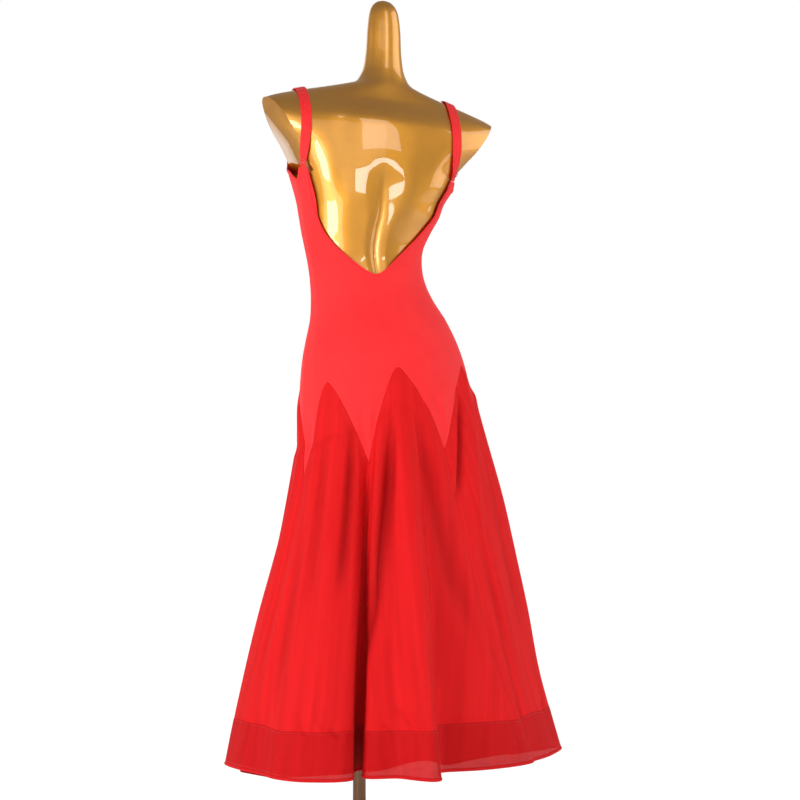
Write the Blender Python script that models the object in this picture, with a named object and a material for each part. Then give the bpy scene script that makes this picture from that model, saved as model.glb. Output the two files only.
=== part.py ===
"""A long ballroom dress standing on a limbless dress form.

Metres, +Z up. The origin is the centre of the underside of the stand's base,
on the pole's axis. The dress faces -Y, and the wearer's left is +X.
A place on the figure is given by a turn and a height: turn 0 is the middle of
the back, +90 the wearer's right side, 180 the middle of the front.
"""
from math import atan2, cos, exp, pi, radians, sin, tan

import bpy
from mathutils import Matrix, Vector
from mathutils.bvhtree import BVHTree

# Cloth
WALL = 0.0016            # jersey and chiffon walls
BAND_WALL = 0.0022       # the doubled hem band
EASE = 0.0026            # air between the form and the tight bodice
SEAM_GAP = 0.0003        # between two pieces that are sewn together
POINT_GAP = 0.0010       # the same along the steep zigzag, measured upright

# Hem
HEM_HEIGHT = 0.125
BAND_HEIGHT = 0.083
BINDING_HEIGHT = 0.006
BINDING_WALL = 0.0034
SKIRT_CENTRE = (-0.067, 0.0065)

# Where the skirt leaves the hips: its mean height, and how much more on the right
LEAVE_HEIGHT = 0.785
LEAVE_SLOPE = 0.075
LEAVE_SOFTNESS = 0.008   # how far the cloth stands off before it hangs straight
HANG_BOW = 0.0045        # the right side hangs full above and hollow below, the left the reverse

# Back opening, armholes and straps
STRAP_WIDTH = 0.019
STRAP_WALL = 0.0020
STRAP_EASE = 0.0024
STRAP_MIDDLE = -0.0245   # midway between the two straps, on top of the shoulders
STRAP_REACH = 0.1398     # from that middle to each strap
STRAP_STEPS = 26
STRAP_PROBES = 60
PROBE_REACH = 0.5        # how far out the search for the form's skin starts
STRAP_SWING_SHARE = 0.30 # of the length, where the strap moves over to the shoulder
STRAP_LIFT_SHARE = 0.5   # of the shoulder's own lift
STRAP_FOOT_GAP = 0.0006
STRAP_SEWN_SHARE = 0.20   # of the length, where the strap lies as the bodice's edge does
STRAP_CENTRE_HEIGHT = 1.235
STRAP_NARROWING = 0.30   # share of the width lost at each end
STRAP_NARROW_SHARE = 0.12
SLIDER_SIZE = (0.0180, 0.0014, 0.0075)
SLIDER_RIM = 0.0020
SLIDER_STEP = 1

# Form and stand
SHOULDER_ROLL = 5.8      # the wearer's right shoulder is carried lower
ROLL_START = 1.10
ROLL_FULL = 1.25
SHOULDER_MIDDLE = -0.0325
SHOULDER_TWIST = 9.0     # the wearer's left shoulder is carried back
ARM_REACH = 0.2140
ARM_HEIGHT = 1.3200
ARM_SLANT = 33.0
ARM_FOOT = 1.190
ARM_CUT_SIZE = 0.30      # the block that takes the arm's end off
ARM_CUT_TOP = 0.20
ROW_GAP_MOST = 0.034     # wider rows of the form are halved
POLE_RADIUS = 0.012
POLE_BORE_DEPTH = 0.090
POLE_GAP = 0.0004
BASE_RADIUS = 0.140
BASE_HUB_TOP = 0.034
BASE_FLOOR = 0.006       # thickness left under the pole
POLE_CHAMFER = 0.001
POLE_SIDES = 24
BASE_SIDES = 40

# The base, from its hub outward and down
BASE_COLUMNS = ("radius", "height")
BASE_PROFILE = (
    (0.0190, BASE_HUB_TOP),
    (0.0210, BASE_HUB_TOP - 0.002),
    (0.0220, 0.0130),
    (0.0260, 0.0105),
    (0.1260, 0.0085),
    (0.1360, 0.0065),
    (BASE_RADIUS, 0.0025),
    (BASE_RADIUS - 0.0015, 0.0),
)

# The form's level sections, from the neck's top to its foot
BODY_COLUMNS = ("height", "shift", "half_width", "back", "front")
BODY = (
    (1.5250, -0.0465, 0.0040, 0.0040, 0.0040),
    (1.5220, -0.0465, 0.0130, 0.0130, 0.0130),
    (1.5140, -0.0465, 0.0215, 0.0210, 0.0210),
    (1.5010, -0.0465, 0.0270, 0.0265, 0.0265),
    (1.4690, -0.0465, 0.0310, 0.0305, 0.0305),
    (1.4300, -0.0460, 0.0330, 0.0335, 0.0330),
    (1.4000, -0.0455, 0.0370, 0.0385, 0.0370),
    (1.3830, -0.0450, 0.0430, 0.0440, 0.0410),
    (1.3690, -0.0440, 0.0540, 0.0500, 0.0450),
    (1.3620, -0.0410, 0.0740, 0.0530, 0.0460),
    (1.3530, -0.0380, 0.1040, 0.0560, 0.0470),
    (1.3430, -0.0350, 0.1400, 0.0590, 0.0480),
    (1.3330, -0.0330, 0.1740, 0.0620, 0.0500),
    (1.3235, -0.0325, 0.2015, 0.0670, 0.0530),
    (1.3100, -0.0320, 0.2260, 0.0760, 0.0600),
    (1.2900, -0.0310, 0.2350, 0.0870, 0.0700),
    (1.2650, -0.0300, 0.2200, 0.0940, 0.0800),
    (1.2400, -0.0280, 0.1860, 0.0970, 0.0890),
    (1.2100, -0.0250, 0.1600, 0.0960, 0.0940),
    (1.1810, -0.0250, 0.1464, 0.0930, 0.0960),
    (1.1510, -0.0222, 0.1330, 0.0900, 0.0950),
    (1.1220, -0.0194, 0.1258, 0.0860, 0.0930),
    (1.0920, -0.0130, 0.1155, 0.0810, 0.0890),
    (1.0620, -0.0093, 0.1061, 0.0760, 0.0860),
    (1.0330, -0.0111, 0.1024, 0.0730, 0.0850),
    (1.0030, -0.0157, 0.1033, 0.0750, 0.0860),
    (0.9700, -0.0240, 0.1100, 0.0820, 0.0890),
    (0.9330, -0.0352, 0.1230, 0.0940, 0.0930),
    (0.8960, -0.0407, 0.1362, 0.1060, 0.0970),
    (0.8590, -0.0444, 0.1466, 0.1160, 0.1000),
    (0.8220, -0.0472, 0.1530, 0.1220, 0.1030),
    (0.7850, -0.0472, 0.1548, 0.1230, 0.1040),
    (0.7400, -0.0465, 0.1537, 0.1200, 0.1030),
    (0.7000, -0.0440, 0.1500, 0.1150, 0.1000),
    (0.6500, -0.0370, 0.1370, 0.1050, 0.0940),
    (0.6000, -0.0270, 0.1180, 0.0930, 0.0850),
    (0.5500, -0.0120, 0.0940, 0.0790, 0.0740),
    (0.5060, 0.0030, 0.0720, 0.0640, 0.0600),
)

# Soft rises of the figure: where, how far they spread, how far they stand out
RISE_COLUMNS = ("turn", "height", "turn_spread", "height_spread", "rise")
RISES = (
    (38.0, 1.245, 17.0, 0.050, 0.0050),
    (-38.0, 1.245, 17.0, 0.050, 0.0050),
    (142.0, 1.165, 21.0, 0.050, 0.0210),
    (-142.0, 1.165, 21.0, 0.050, 0.0210),
    (0.0, 1.300, 21.0, 0.024, 0.0090),
    (37.0, 1.170, 14.0, 0.040, 0.0060),
    (-37.0, 1.170, 14.0, 0.040, 0.0060),
    (90.0, 1.325, 24.0, 0.024, 0.0120),
)
SPINE_DEPTH = 0.0055
SPINE_SPREAD = 8.0
SPINE_MIDDLE = 1.110
SPINE_LENGTH = 0.085

# The six gores: seam on the piece's left as seen from outside, its point, how far the two
# legs of the point bow out, and how much of the second falls just before the next seam
GORE_COLUMNS = ("name", "seam_turn", "seam_height", "point_turn", "point_height",
                "rise_bow", "fall_bow", "fall_kick")
GORES = (
    ("back_left", -70.5, 0.6450, -52.5, 0.8175, 1.7, 1.45, 0.00),
    ("back_centre", -20.3, 0.6730, 0.0, 0.8460, 1.9, 1.05, 0.50),
    ("back_right", 19.8, 0.6970, 62.0, 0.8490, 1.4, 1.25, 0.00),
    ("front_right", 86.0, 0.6900, 118.0, 0.8450, 1.5, 1.50, 0.00),
    ("front_centre", 151.0, 0.6750, 181.0, 0.8400, 1.5, 1.50, 0.00),
    ("front_left", 213.0, 0.6550, 252.0, 0.8200, 1.5, 1.70, 0.00),
)
KICK_SHARPNESS = 10.0

# The hem's flutes: which line of the hips falls where on the hem, how far out
FLUTE_COLUMNS = ("hip_turn", "hem_turn", "reach", "drop")
FLUTES = (
    (-72.0, -72.5, 0.325, 0.000),
    (-63.0, -60.4, 0.328, 0.000),
    (-54.0, -49.4, 0.350, 0.000),
    (-42.0, -39.0, 0.348, 0.000),
    (-32.0, -28.6, 0.305, 0.000),
    (-23.5, -34.5, 0.205, 0.000),
    (-20.0, -32.0, 0.187, 0.000),
    (-16.5, -28.5, 0.208, 0.000),
    (-12.0, -24.8, 0.277, 0.000),
    (-6.5, -12.7, 0.272, 0.000),
    (0.5, -0.6, 0.3156, 0.000),
    (8.0, 7.2, 0.222, 0.000),
    (14.0, 28.5, 0.235, 0.000),
    (22.0, 53.0, 0.262, 0.000),
    (38.0, 62.0, 0.262, 0.000),
    (54.0, 80.0, 0.294, 0.000),
    (68.5, 94.5, 0.327, 0.000),
    (77.0, 104.0, 0.303, 0.012),
    (86.0, 112.0, 0.272, 0.022),
    (98.0, 122.0, 0.312, 0.030),
    (110.0, 134.0, 0.290, 0.044),
    (122.0, 144.0, 0.262, 0.054),
    (137.0, 156.0, 0.312, 0.055),
    (151.0, 170.0, 0.272, 0.067),
    (163.0, 179.0, 0.315, 0.078),
    (174.0, 188.0, 0.285, 0.076),
    (186.0, 196.0, 0.262, 0.071),
    (199.0, 206.0, 0.316, 0.078),
    (213.0, 221.0, 0.272, 0.068),
    (227.0, 233.0, 0.314, 0.050),
    (238.0, 243.0, 0.288, 0.036),
    (249.0, 252.0, 0.264, 0.024),
    (262.0, 262.5, 0.298, 0.011),
    (274.0, 269.6, 0.318, 0.004),
)

# The back opening from its lowest point up, then the edges from each strap's foot to the side seam
EDGE_COLUMNS = ("turn", "height")
BACK_NECK = (
    (0.0, 1.0146),
    (10.5, 1.0235),
    (22.0, 1.0405),
    (33.0, 1.0578),
    (43.5, 1.0775),
    (52.0, 1.1010),
    (58.5, 1.1310),
    (61.3, 1.1640),
)
BACK_ARMHOLE = (
    (57.0, 1.199),
    (67.0, 1.199),
    (75.5, 1.183),
    (82.5, 1.186),
    (90.0, 1.193),
)
FRONT_ARMHOLE = (
    (90.0, 1.193),
    (99.0, 1.198),
    (108.0, 1.201),
    (117.0, 1.208),
    (125.0, 1.226),
    (132.0, 1.255),
    (139.5, 1.255),
)
FRONT_NECK_HEIGHT = 1.205
FRONT_SCOOP_ROUNDNESS = 2.2
GORE_SIDE_GAP = 0.00025   # each side of the seam between two gores
FRAME_TURN = 0.4          # degrees and metres either way, where the cloth's directions are taken
FRAME_DROP = 0.001

# Mesh counts
FORM_SIDES = 36
GORE_COLUMNS_EACH = 16
BODICE_COLUMNS_EACH = 8
BODICE_ROWS = 20
ROW_CROWDING = 1.06      # the bodice's rows lie closer towards the top
GORE_ROWS = 8

MATERIALS = {
    "gold_gloss": ((0.60, 0.34, 0.08, 1.0), 0.18, 1.0),
    "red_jersey": ((0.86, 0.035, 0.045, 1.0), 0.75, 0.0),
    "red_chiffon": ((0.66, 0.018, 0.024, 1.0), 0.80, 0.0),
    "red_hem": ((0.52, 0.012, 0.018, 1.0), 0.80, 0.0),
    "red_enamel": ((0.45, 0.02, 0.02, 1.0), 0.35, 0.0),
    "bronze_pole": ((0.20, 0.12, 0.07, 1.0), 0.30, 1.0),
}


def clear_scene():
    for item in list(bpy.data.objects):
        bpy.data.objects.remove(item, do_unlink=True)


def material(name):
    found = bpy.data.materials.get(name)
    if found:
        return found
    colour, roughness, metallic = MATERIALS[name]
    made = bpy.data.materials.new(name)
    made.use_nodes = True
    surface = made.node_tree.nodes["Principled BSDF"]
    surface.inputs["Base Color"].default_value = colour
    surface.inputs["Roughness"].default_value = roughness
    surface.inputs["Metallic"].default_value = metallic
    made.diffuse_color = colour
    return made


def add_object(name, points, faces, material_name, crease=40.0):
    mesh = bpy.data.meshes.new(name)
    mesh.from_pydata([tuple(point) for point in points], [], faces)
    mesh.validate()
    mesh.shade_smooth()
    mesh.set_sharp_from_angle(angle=radians(crease))
    mesh.materials.append(material(material_name))
    made = bpy.data.objects.new(name, mesh)
    bpy.context.collection.objects.link(made)
    return made


# ---------------------------------------------------------------- the figure

def smooth_step(value):
    value = min(1.0, max(0.0, value))
    return value * value * (3.0 - 2.0 * value)


def curve_value(rows, column, where):
    """A smooth curve through one column of a table whose first column rises."""
    last = len(rows) - 1
    index = 0
    while index < last - 1 and rows[index + 1][0] < where:
        index += 1
    near = [rows[min(last, max(0, index + step))] for step in (-1, 0, 1, 2)]
    (x0, y0), (x1, y1), (x2, y2), (x3, y3) = ((row[0], row[column]) for row in near)
    span = x2 - x1
    slope_in = (y2 - y0) / (x2 - x0)
    slope_out = (y3 - y1) / (x3 - x1)
    t = (where - x1) / span
    return ((2 * t ** 3 - 3 * t ** 2 + 1) * y1 + (t ** 3 - 2 * t ** 2 + t) * span * slope_in
            + (3 * t ** 2 - 2 * t ** 3) * y2 + (t ** 3 - t ** 2) * span * slope_out)


def lapped(rows):
    """The flutes once round, with two more at each end, so that the curve closes smoothly."""
    before = [(hip - 360.0, hem - 360.0, *rest) for hip, hem, *rest in rows[-2:]]
    after = [(hip + 360.0, hem + 360.0, *rest) for hip, hem, *rest in rows[:2]]
    return (*before, *rows, *after)


BODY_RISING = tuple(sorted(BODY))
FLUTES_ROUND = lapped(FLUTES)


def body_size(name, height):
    low, high = BODY_RISING[0][0], BODY_RISING[-1][0]
    return curve_value(BODY_RISING, BODY_COLUMNS.index(name), min(high, max(low, height)))


def turn_between(first, second):
    return (first - second + 180.0) % 360.0 - 180.0


def figure_rise(turn, height):
    total = 0.0
    for centre, level, turn_spread, height_spread, rise in RISES:
        across = turn_between(turn, centre) / turn_spread
        along = (height - level) / height_spread
        total += rise * exp(-0.5 * (across * across + along * along))
    return total


def spine_hollow(turn, height):
    across = turn_between(turn, 0.0) / SPINE_SPREAD
    along = (height - SPINE_MIDDLE) / SPINE_LENGTH
    return SPINE_DEPTH * exp(-0.5 * across * across - 0.5 * along ** 4)


def body_point(turn, height, out=0.0, hollow=False):
    """A point on the figure's skin, moved out by a clearance."""
    angle = radians(turn)
    reach = figure_rise(turn, height) + out
    if hollow:
        reach -= spine_hollow(turn, height)
    depth = body_size("back" if cos(angle) > 0.0 else "front", height) + reach
    across = -(body_size("half_width", height) + reach) * sin(angle)
    roll = SHOULDER_ROLL * smooth_step((height - ROLL_START) / (ROLL_FULL - ROLL_START))
    return Vector((body_size("shift", height) + across,
                   depth * cos(angle),
                   height + across * tan(radians(roll))))


# ------------------------------------------------------------ the cloth's form

def leave_height(turn):
    return LEAVE_HEIGHT + LEAVE_SLOPE * sin(radians(turn))


def hem_point(turn):
    first = FLUTES[0][0]
    hip_turn = (turn - first) % 360.0 + first
    angle = radians(curve_value(FLUTES_ROUND, FLUTE_COLUMNS.index("hem_turn"), hip_turn))
    reach = curve_value(FLUTES_ROUND, FLUTE_COLUMNS.index("reach"), hip_turn)
    drop = curve_value(FLUTES_ROUND, FLUTE_COLUMNS.index("drop"), hip_turn)
    return Vector((SKIRT_CENTRE[0] - reach * sin(angle),
                   SKIRT_CENTRE[1] + reach * cos(angle),
                   HEM_HEIGHT - drop))


def cloth_point(turn, height):
    """The cloth's inner face: on the figure down to the hips, then straight to the hem."""
    leave = leave_height(turn)
    if height >= leave:
        return body_point(turn, height, EASE)
    worn = body_point(turn, height, EASE)
    fall = (leave - height) / (leave - HEM_HEIGHT)
    hanging = body_point(turn, leave, EASE).lerp(hem_point(turn), fall)
    away = Vector((-sin(radians(turn)), cos(radians(turn)), 0.0))
    hanging = hanging + away * (HANG_BOW * sin(2.0 * pi * fall) * sin(radians(turn)))
    stand_off = (hanging - worn).dot(away)
    return worn.lerp(hanging, smooth_step(stand_off / LEAVE_SOFTNESS))


def cloth_frame(turn, height):
    """The point, the way round, the way down and the way out at one place of the cloth."""
    point = cloth_point(turn, height)
    around = cloth_point(turn + FRAME_TURN, height) - cloth_point(turn - FRAME_TURN, height)
    down = cloth_point(turn, height - FRAME_DROP) - cloth_point(turn, height + FRAME_DROP)
    around.normalize()
    down.normalize()
    return point, around, down, around.cross(down).normalized() * -1.0


def zigzag_height(turn):
    """The seam between bodice and gores: straight runs between marks on each gore's two legs."""
    turn = (turn - GORES[0][1]) % 360.0 + GORES[0][1]
    marks = zigzag_marks()
    for (turn_a, height_a), (turn_b, height_b) in zip(marks, marks[1:]):
        if turn <= turn_b + 1e-6:
            return height_a + (height_b - height_a) * (turn - turn_a) / (turn_b - turn_a)
    return marks[-1][1]


def leg_fall(share, bow, kick):
    """How far a leg of the zigzag has come down, from 0 at its point to 1 at the seam."""
    return (1.0 - kick) * share ** bow + kick * share ** KICK_SHARPNESS


def zigzag_marks():
    marks = []
    legs = BODICE_COLUMNS_EACH // 2
    for index, (_, seam, low, point, high, rise_bow, fall_bow, fall_kick) in enumerate(GORES):
        after = GORES[(index + 1) % len(GORES)]
        next_seam = after[1] + (360.0 if after[1] < seam else 0.0)
        for step in range(legs):
            share = step / legs
            marks.append((seam + (point - seam) * share,
                          low + (high - low) * (1.0 - leg_fall(1.0 - share, rise_bow, 0.0))))
        for step in range(legs):
            share = step / legs
            marks.append((point + (next_seam - point) * share,
                          after[2] + (high - after[2]) * (1.0 - leg_fall(share, fall_bow, fall_kick))))
    marks.append((GORES[0][1] + 360.0, GORES[0][2]))
    return marks


def cloth_wall(name, grid, wall, material_name, insets, wrapped=False, even_top=False):
    """A closed wall on a grid of (turn, height) places, columns round, rows down.

    insets are the gaps kept at the first column, last column, top and foot. With
    even_top, every other point of the top lies halfway between its neighbours, so
    that the edge runs along a neighbour's edge that has half as many points.
    """
    columns, rows = len(grid), len(grid[0])
    inner, outer = [], []
    for column in range(columns):
        for row in range(rows):
            point, around, down, out = cloth_frame(*grid[column][row])
            if not wrapped and column == 0:
                point = point + around * insets[0]
            if not wrapped and column == columns - 1:
                point = point - around * insets[1]
            if row == 0:
                point = point + down * insets[2]
            if row == rows - 1:
                point = point - down * insets[3]
            inner.append(point)
            outer.append(point + out * wall)
    if even_top:
        for side in (inner, outer):
            for column in range(1, columns - 1, 2):
                side[column * rows] = (side[(column - 1) * rows] + side[(column + 1) * rows]) / 2
    return add_object(name, inner + outer, wall_faces(columns, rows, wrapped), material_name)


def wall_faces(columns, rows, wrapped):
    def at(column, row, layer):
        return layer * columns * rows + (column % columns) * rows + row

    faces = []
    spans = columns if wrapped else columns - 1
    for column in range(spans):
        for row in range(rows - 1):
            faces.append((at(column, row, 1), at(column, row + 1, 1),
                          at(column + 1, row + 1, 1), at(column + 1, row, 1)))
            faces.append((at(column, row, 0), at(column + 1, row, 0),
                          at(column + 1, row + 1, 0), at(column, row + 1, 0)))
        faces.append((at(column, 0, 0), at(column, 0, 1), at(column + 1, 0, 1), at(column + 1, 0, 0)))
        foot = rows - 1
        faces.append((at(column, foot, 1), at(column, foot, 0),
                      at(column + 1, foot, 0), at(column + 1, foot, 1)))
    if not wrapped:
        for row in range(rows - 1):
            faces.append((at(0, row, 0), at(0, row + 1, 0), at(0, row + 1, 1), at(0, row, 1)))
            end = columns - 1
            faces.append((at(end, row, 1), at(end, row + 1, 1), at(end, row + 1, 0), at(end, row, 0)))
    return faces


# --------------------------------------------------------------- the bodice

def back_top_edge():
    """The back opening and the two armholes, from the left side seam to the right one."""
    right = list(BACK_NECK) + list(BACK_ARMHOLE)
    return [(-turn, height) for turn, height in reversed(right[1:])] + right


def front_top_edge():
    columns = BODICE_COLUMNS_EACH * 3 // 2 - (len(FRONT_ARMHOLE) - 1)
    scoop = []
    for step in range(1, columns + 1):
        share = step / columns
        foot_turn, foot_height = FRONT_ARMHOLE[-1]
        turn = foot_turn + (180.0 - foot_turn) * share
        rise = (1.0 - share) ** FRONT_SCOOP_ROUNDNESS
        scoop.append((turn, FRONT_NECK_HEIGHT + (foot_height - FRONT_NECK_HEIGHT) * rise))
    left = list(FRONT_ARMHOLE) + scoop
    return left + [(360.0 - turn, height) for turn, height in reversed(left[:-1])]


def bodice_foot_edge(first_gore):
    edge = []
    legs = BODICE_COLUMNS_EACH // 2
    for index in range(3):
        _, seam, _, point = GORES[(first_gore + index) % 6][:4]
        after = GORES[(first_gore + index + 1) % 6][1]
        if after < seam:
            after += 360.0
        edge += [seam + (point - seam) * step / legs for step in range(legs)]
        edge += [point + (after - point) * step / legs for step in range(legs)]
    edge.append(after)
    return [(turn, zigzag_height(turn)) for turn in edge]


def add_bodice(name, top, foot):
    grid = []
    for (top_turn, top_height), (foot_turn, foot_height) in zip(top, foot):
        places = []
        for row in range(BODICE_ROWS + 1):
            share = (row / BODICE_ROWS) ** ROW_CROWDING
            swing = smooth_step(share)
            places.append((top_turn + (foot_turn - top_turn) * swing,
                           top_height + (foot_height - top_height) * share))
        grid.append(places)
    cloth_wall(name, grid, WALL, "red_jersey", (SEAM_GAP / 2, SEAM_GAP / 2, 0.0, 0.0))


# ---------------------------------------------------------------- the skirt

def gore_turns(index):
    _, seam, _, point = GORES[index][:4]
    after = GORES[(index + 1) % 6][1]
    if after < seam:
        after += 360.0
    legs = GORE_COLUMNS_EACH // 2
    return ([seam + (point - seam) * step / legs for step in range(legs)]
            + [point + (after - point) * step / legs for step in range(legs + 1)])


def add_gore(index):
    name = GORES[index][0]
    band_top = HEM_HEIGHT + BAND_HEIGHT
    turns = gore_turns(index)
    upper = []
    lower = []
    for turn in turns:
        top = zigzag_height(turn)
        drop = (band_top - top) / GORE_ROWS
        upper.append([(turn, top + drop * row) for row in range(GORE_ROWS + 1)])
        foot = HEM_HEIGHT + BINDING_HEIGHT
        lower.append([(turn, band_top), (turn, foot)])
    side = GORE_SIDE_GAP
    level = SEAM_GAP / 2
    cloth_wall("gore_" + name, upper, WALL, "red_chiffon", (side, side, POINT_GAP, level), even_top=True)
    cloth_wall("hem_band_" + name, lower, BAND_WALL, "red_hem", (side, side, level, level))


def add_binding():
    turns = []
    for index in range(len(GORES)):
        turns += gore_turns(index)[:-1]
    top = HEM_HEIGHT + BINDING_HEIGHT
    grid = [[(turn, top), (turn, HEM_HEIGHT)] for turn in turns]
    insets = (0.0, 0.0, SEAM_GAP / 2, 0.0)
    cloth_wall("hem_binding", grid, BINDING_WALL, "red_hem", insets, wrapped=True)


# -------------------------------------------------------- the form and stand

def form_heights():
    levels = []
    for upper, lower in zip(BODY, BODY[1:]):
        gap = upper[0] - lower[0]
        steps = 2 if gap > ROW_GAP_MOST else 1
        levels += [upper[0] - gap * step / steps for step in range(steps)]
    return levels + [BODY[-1][0]]


def add_form():
    levels = form_heights()
    points = []
    for height in levels:
        for side in range(FORM_SIDES):
            points.append(body_point(360.0 * side / FORM_SIDES, height, 0.0, True))
    faces = []
    for row in range(len(levels) - 1):
        for side in range(FORM_SIDES):
            after = (side + 1) % FORM_SIDES
            faces.append((row * FORM_SIDES + side, row * FORM_SIDES + after,
                          (row + 1) * FORM_SIDES + after, (row + 1) * FORM_SIDES + side))
    faces.append(tuple(reversed(range(FORM_SIDES))))
    faces.append(tuple(range((len(levels) - 1) * FORM_SIDES, len(levels) * FORM_SIDES)))
    faces = [tuple(reversed(face)) for face in faces]
    form = add_object("form_torso", points, faces, "gold_gloss", 50.0)
    for side, name in ((1.0, "arm_end_left"), (-1.0, "arm_end_right")):
        cut_away(form, arm_cutter(name, side))
    cut_away(form, bore_cutter())
    return form


def cut_away(body, cutter):
    cut = body.modifiers.new(cutter.name, 'BOOLEAN')
    cut.operation = 'DIFFERENCE'
    cut.solver = 'EXACT'
    cut.object = cutter


def make_cutter(name, points, faces):
    cutter = add_object(name, points, faces, "gold_gloss")
    cutter.hide_render = True
    cutter.display_type = 'WIRE'
    return cutter


def arm_cutter(name, side):
    """A block whose inner face is the flat end of one arm."""
    size = ARM_CUT_SIZE
    foot = (ARM_FOOT - ARM_HEIGHT) / cos(radians(ARM_SLANT))
    corners = [(x, y, z) for x in (0.0, size) for y in (-size, size) for z in (foot, ARM_CUT_TOP)]
    faces = [(0, 1, 3, 2), (4, 6, 7, 5), (0, 4, 5, 1), (2, 3, 7, 6), (0, 2, 6, 4), (1, 5, 7, 3)]
    place = (Matrix.Translation((SHOULDER_MIDDLE, 0.0, ARM_HEIGHT))
             @ Matrix.Rotation(radians(-SHOULDER_ROLL), 4, 'Y')
             @ Matrix.Translation((side * ARM_REACH, 0.0, 0.0)))
    if side < 0.0:
        place = place @ Matrix.Rotation(pi, 4, 'Z')
    place = place @ Matrix.Rotation(radians(SHOULDER_TWIST), 4, 'Z')
    place = place @ Matrix.Rotation(radians(ARM_SLANT), 4, 'Y')
    return make_cutter(name, [place @ Vector(corner) for corner in corners], faces)


def ring_points(radius, height, sides):
    angles = [2.0 * pi * side / sides for side in range(sides)]
    return [Vector((radius * cos(angle), radius * sin(angle), height)) for angle in angles]


def turned_solid(profile, sides):
    """A solid turned about the Z axis; the profile runs from the top's middle outward and down."""
    points = []
    faces = []
    for radius, height in profile:
        points += ring_points(radius, height, sides)
    for row in range(len(profile) - 1):
        for side in range(sides):
            after = (side + 1) % sides
            faces.append((row * sides + after, row * sides + side,
                          (row + 1) * sides + side, (row + 1) * sides + after))
    faces.append(tuple(range(sides)))
    faces.append(tuple(reversed(range((len(profile) - 1) * sides, len(profile) * sides))))
    return points, faces


def bore_cutter():
    foot = BODY[-1][0]
    radius = POLE_RADIUS + POLE_GAP
    below = foot - POLE_RADIUS
    points, faces = turned_solid(((radius, foot + POLE_BORE_DEPTH), (radius, below)), POLE_SIDES)
    return make_cutter("pole_bore", points, faces)


def add_stand():
    top = BODY[-1][0] + POLE_BORE_DEPTH - POLE_GAP
    foot = BASE_FLOOR + SEAM_GAP
    profile = ((POLE_RADIUS - POLE_CHAMFER, top), (POLE_RADIUS, top - POLE_CHAMFER), (POLE_RADIUS, foot))
    points, faces = turned_solid(profile, POLE_SIDES)
    add_object("stand_pole", points, faces, "bronze_pole")
    bore = POLE_RADIUS + POLE_GAP
    profile = ((bore, BASE_FLOOR), (bore, BASE_HUB_TOP), *BASE_PROFILE)
    points, faces = turned_solid(profile, BASE_SIDES)
    add_object("stand_base", points, faces, "bronze_pole", 30.0)


# ------------------------------------------------------------------ straps

def strap_feet(side):
    """Turn and height of the strap's two feet, at the back and at the front."""
    back = (-side * (BACK_ARMHOLE[0][0] + BACK_ARMHOLE[1][0]) / 2, BACK_ARMHOLE[0][1])
    front = (-side * (FRONT_ARMHOLE[-1][0] + FRONT_ARMHOLE[-2][0]) / 2, FRONT_ARMHOLE[-1][1])
    return back, front


def strap_path(form, side):
    """Points of a taut band's inner face from the back, over the shoulder, to the front."""
    tree = BVHTree.FromObject(form, bpy.context.evaluated_depsgraph_get())
    middle = STRAP_MIDDLE + side * STRAP_REACH
    lift = side * STRAP_REACH * tan(radians(SHOULDER_ROLL)) * STRAP_LIFT_SHARE
    centre = Vector((0.0, 0.0, STRAP_CENTRE_HEIGHT + lift))
    start, end = (cloth_point(*foot) for foot in strap_feet(side))
    start.z += STRAP_FOOT_GAP
    end.z += STRAP_FOOT_GAP
    first = atan2(start.z - centre.z, start.y)
    last = atan2(end.z - centre.z, end.y) % (2.0 * pi)
    touch = [start]
    for step in range(1, STRAP_PROBES):
        share = step / STRAP_PROBES
        angle = first + (last - first) * share
        edge = start.x if share < 0.5 else end.x
        centre.x = edge + (middle - edge) * smooth_step(min(share, 1.0 - share) / STRAP_SWING_SHARE)
        way = Vector((0.0, cos(angle), sin(angle)))
        hit, normal, _, _ = tree.ray_cast(centre + way * PROBE_REACH, -way)
        if hit is not None:
            touch.append(hit + normal * STRAP_EASE)
    touch.append(end)
    return spaced(taut_line(touch), STRAP_STEPS)


def taut_line(points):
    """The taut line, seen from the side, over points that run from the back to the front."""
    line = []
    for point in points:
        while len(line) >= 2:
            a, b = line[-2], line[-1]
            if (b.y - a.y) * (point.z - a.z) - (b.z - a.z) * (point.y - a.y) > 0.0:
                break
            line.pop()
        line.append(point)
    return line


def spaced(line, steps):
    """Evenly spaced points along a line of straight runs."""
    lengths = [0.0]
    for a, b in zip(line, line[1:]):
        lengths.append(lengths[-1] + (b - a).length)
    result = []
    index = 0
    for step in range(steps + 1):
        target = lengths[-1] * step / steps
        while index < len(lengths) - 2 and lengths[index + 1] < target:
            index += 1
        share = (target - lengths[index]) / (lengths[index + 1] - lengths[index])
        result.append(line[index].lerp(line[index + 1], share))
    return result


def strap_frames(form, side):
    """Along the strap: its place on the inner face, the way along, the way across and the way out."""
    path = strap_path(form, side)
    tree = BVHTree.FromObject(form, bpy.context.evaluated_depsgraph_get())
    (_, back_around, back_down, back_out), (_, front_around, front_down, front_out) = (
        cloth_frame(*foot) for foot in strap_feet(side))
    last = len(path) - 1
    frames = []
    for index, place in enumerate(path):
        along = (path[min(last, index + 1)] - path[max(0, index - 1)]).normalized()
        _, normal, _, _ = tree.find_nearest(place)
        sewn_out = back_out if index < last / 2 else front_out
        free = smooth_step(min(index, last - index) / last / STRAP_SEWN_SHARE)
        out = sewn_out.lerp(normal, free)
        out = (out - along * out.dot(along)).normalized()
        frames.append((place, along, along.cross(out).normalized(), out))
    frames[0] = (path[0], -back_down, back_around, back_out)
    frames[last] = (path[last], front_down, -front_around, front_out)
    return frames


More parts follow.
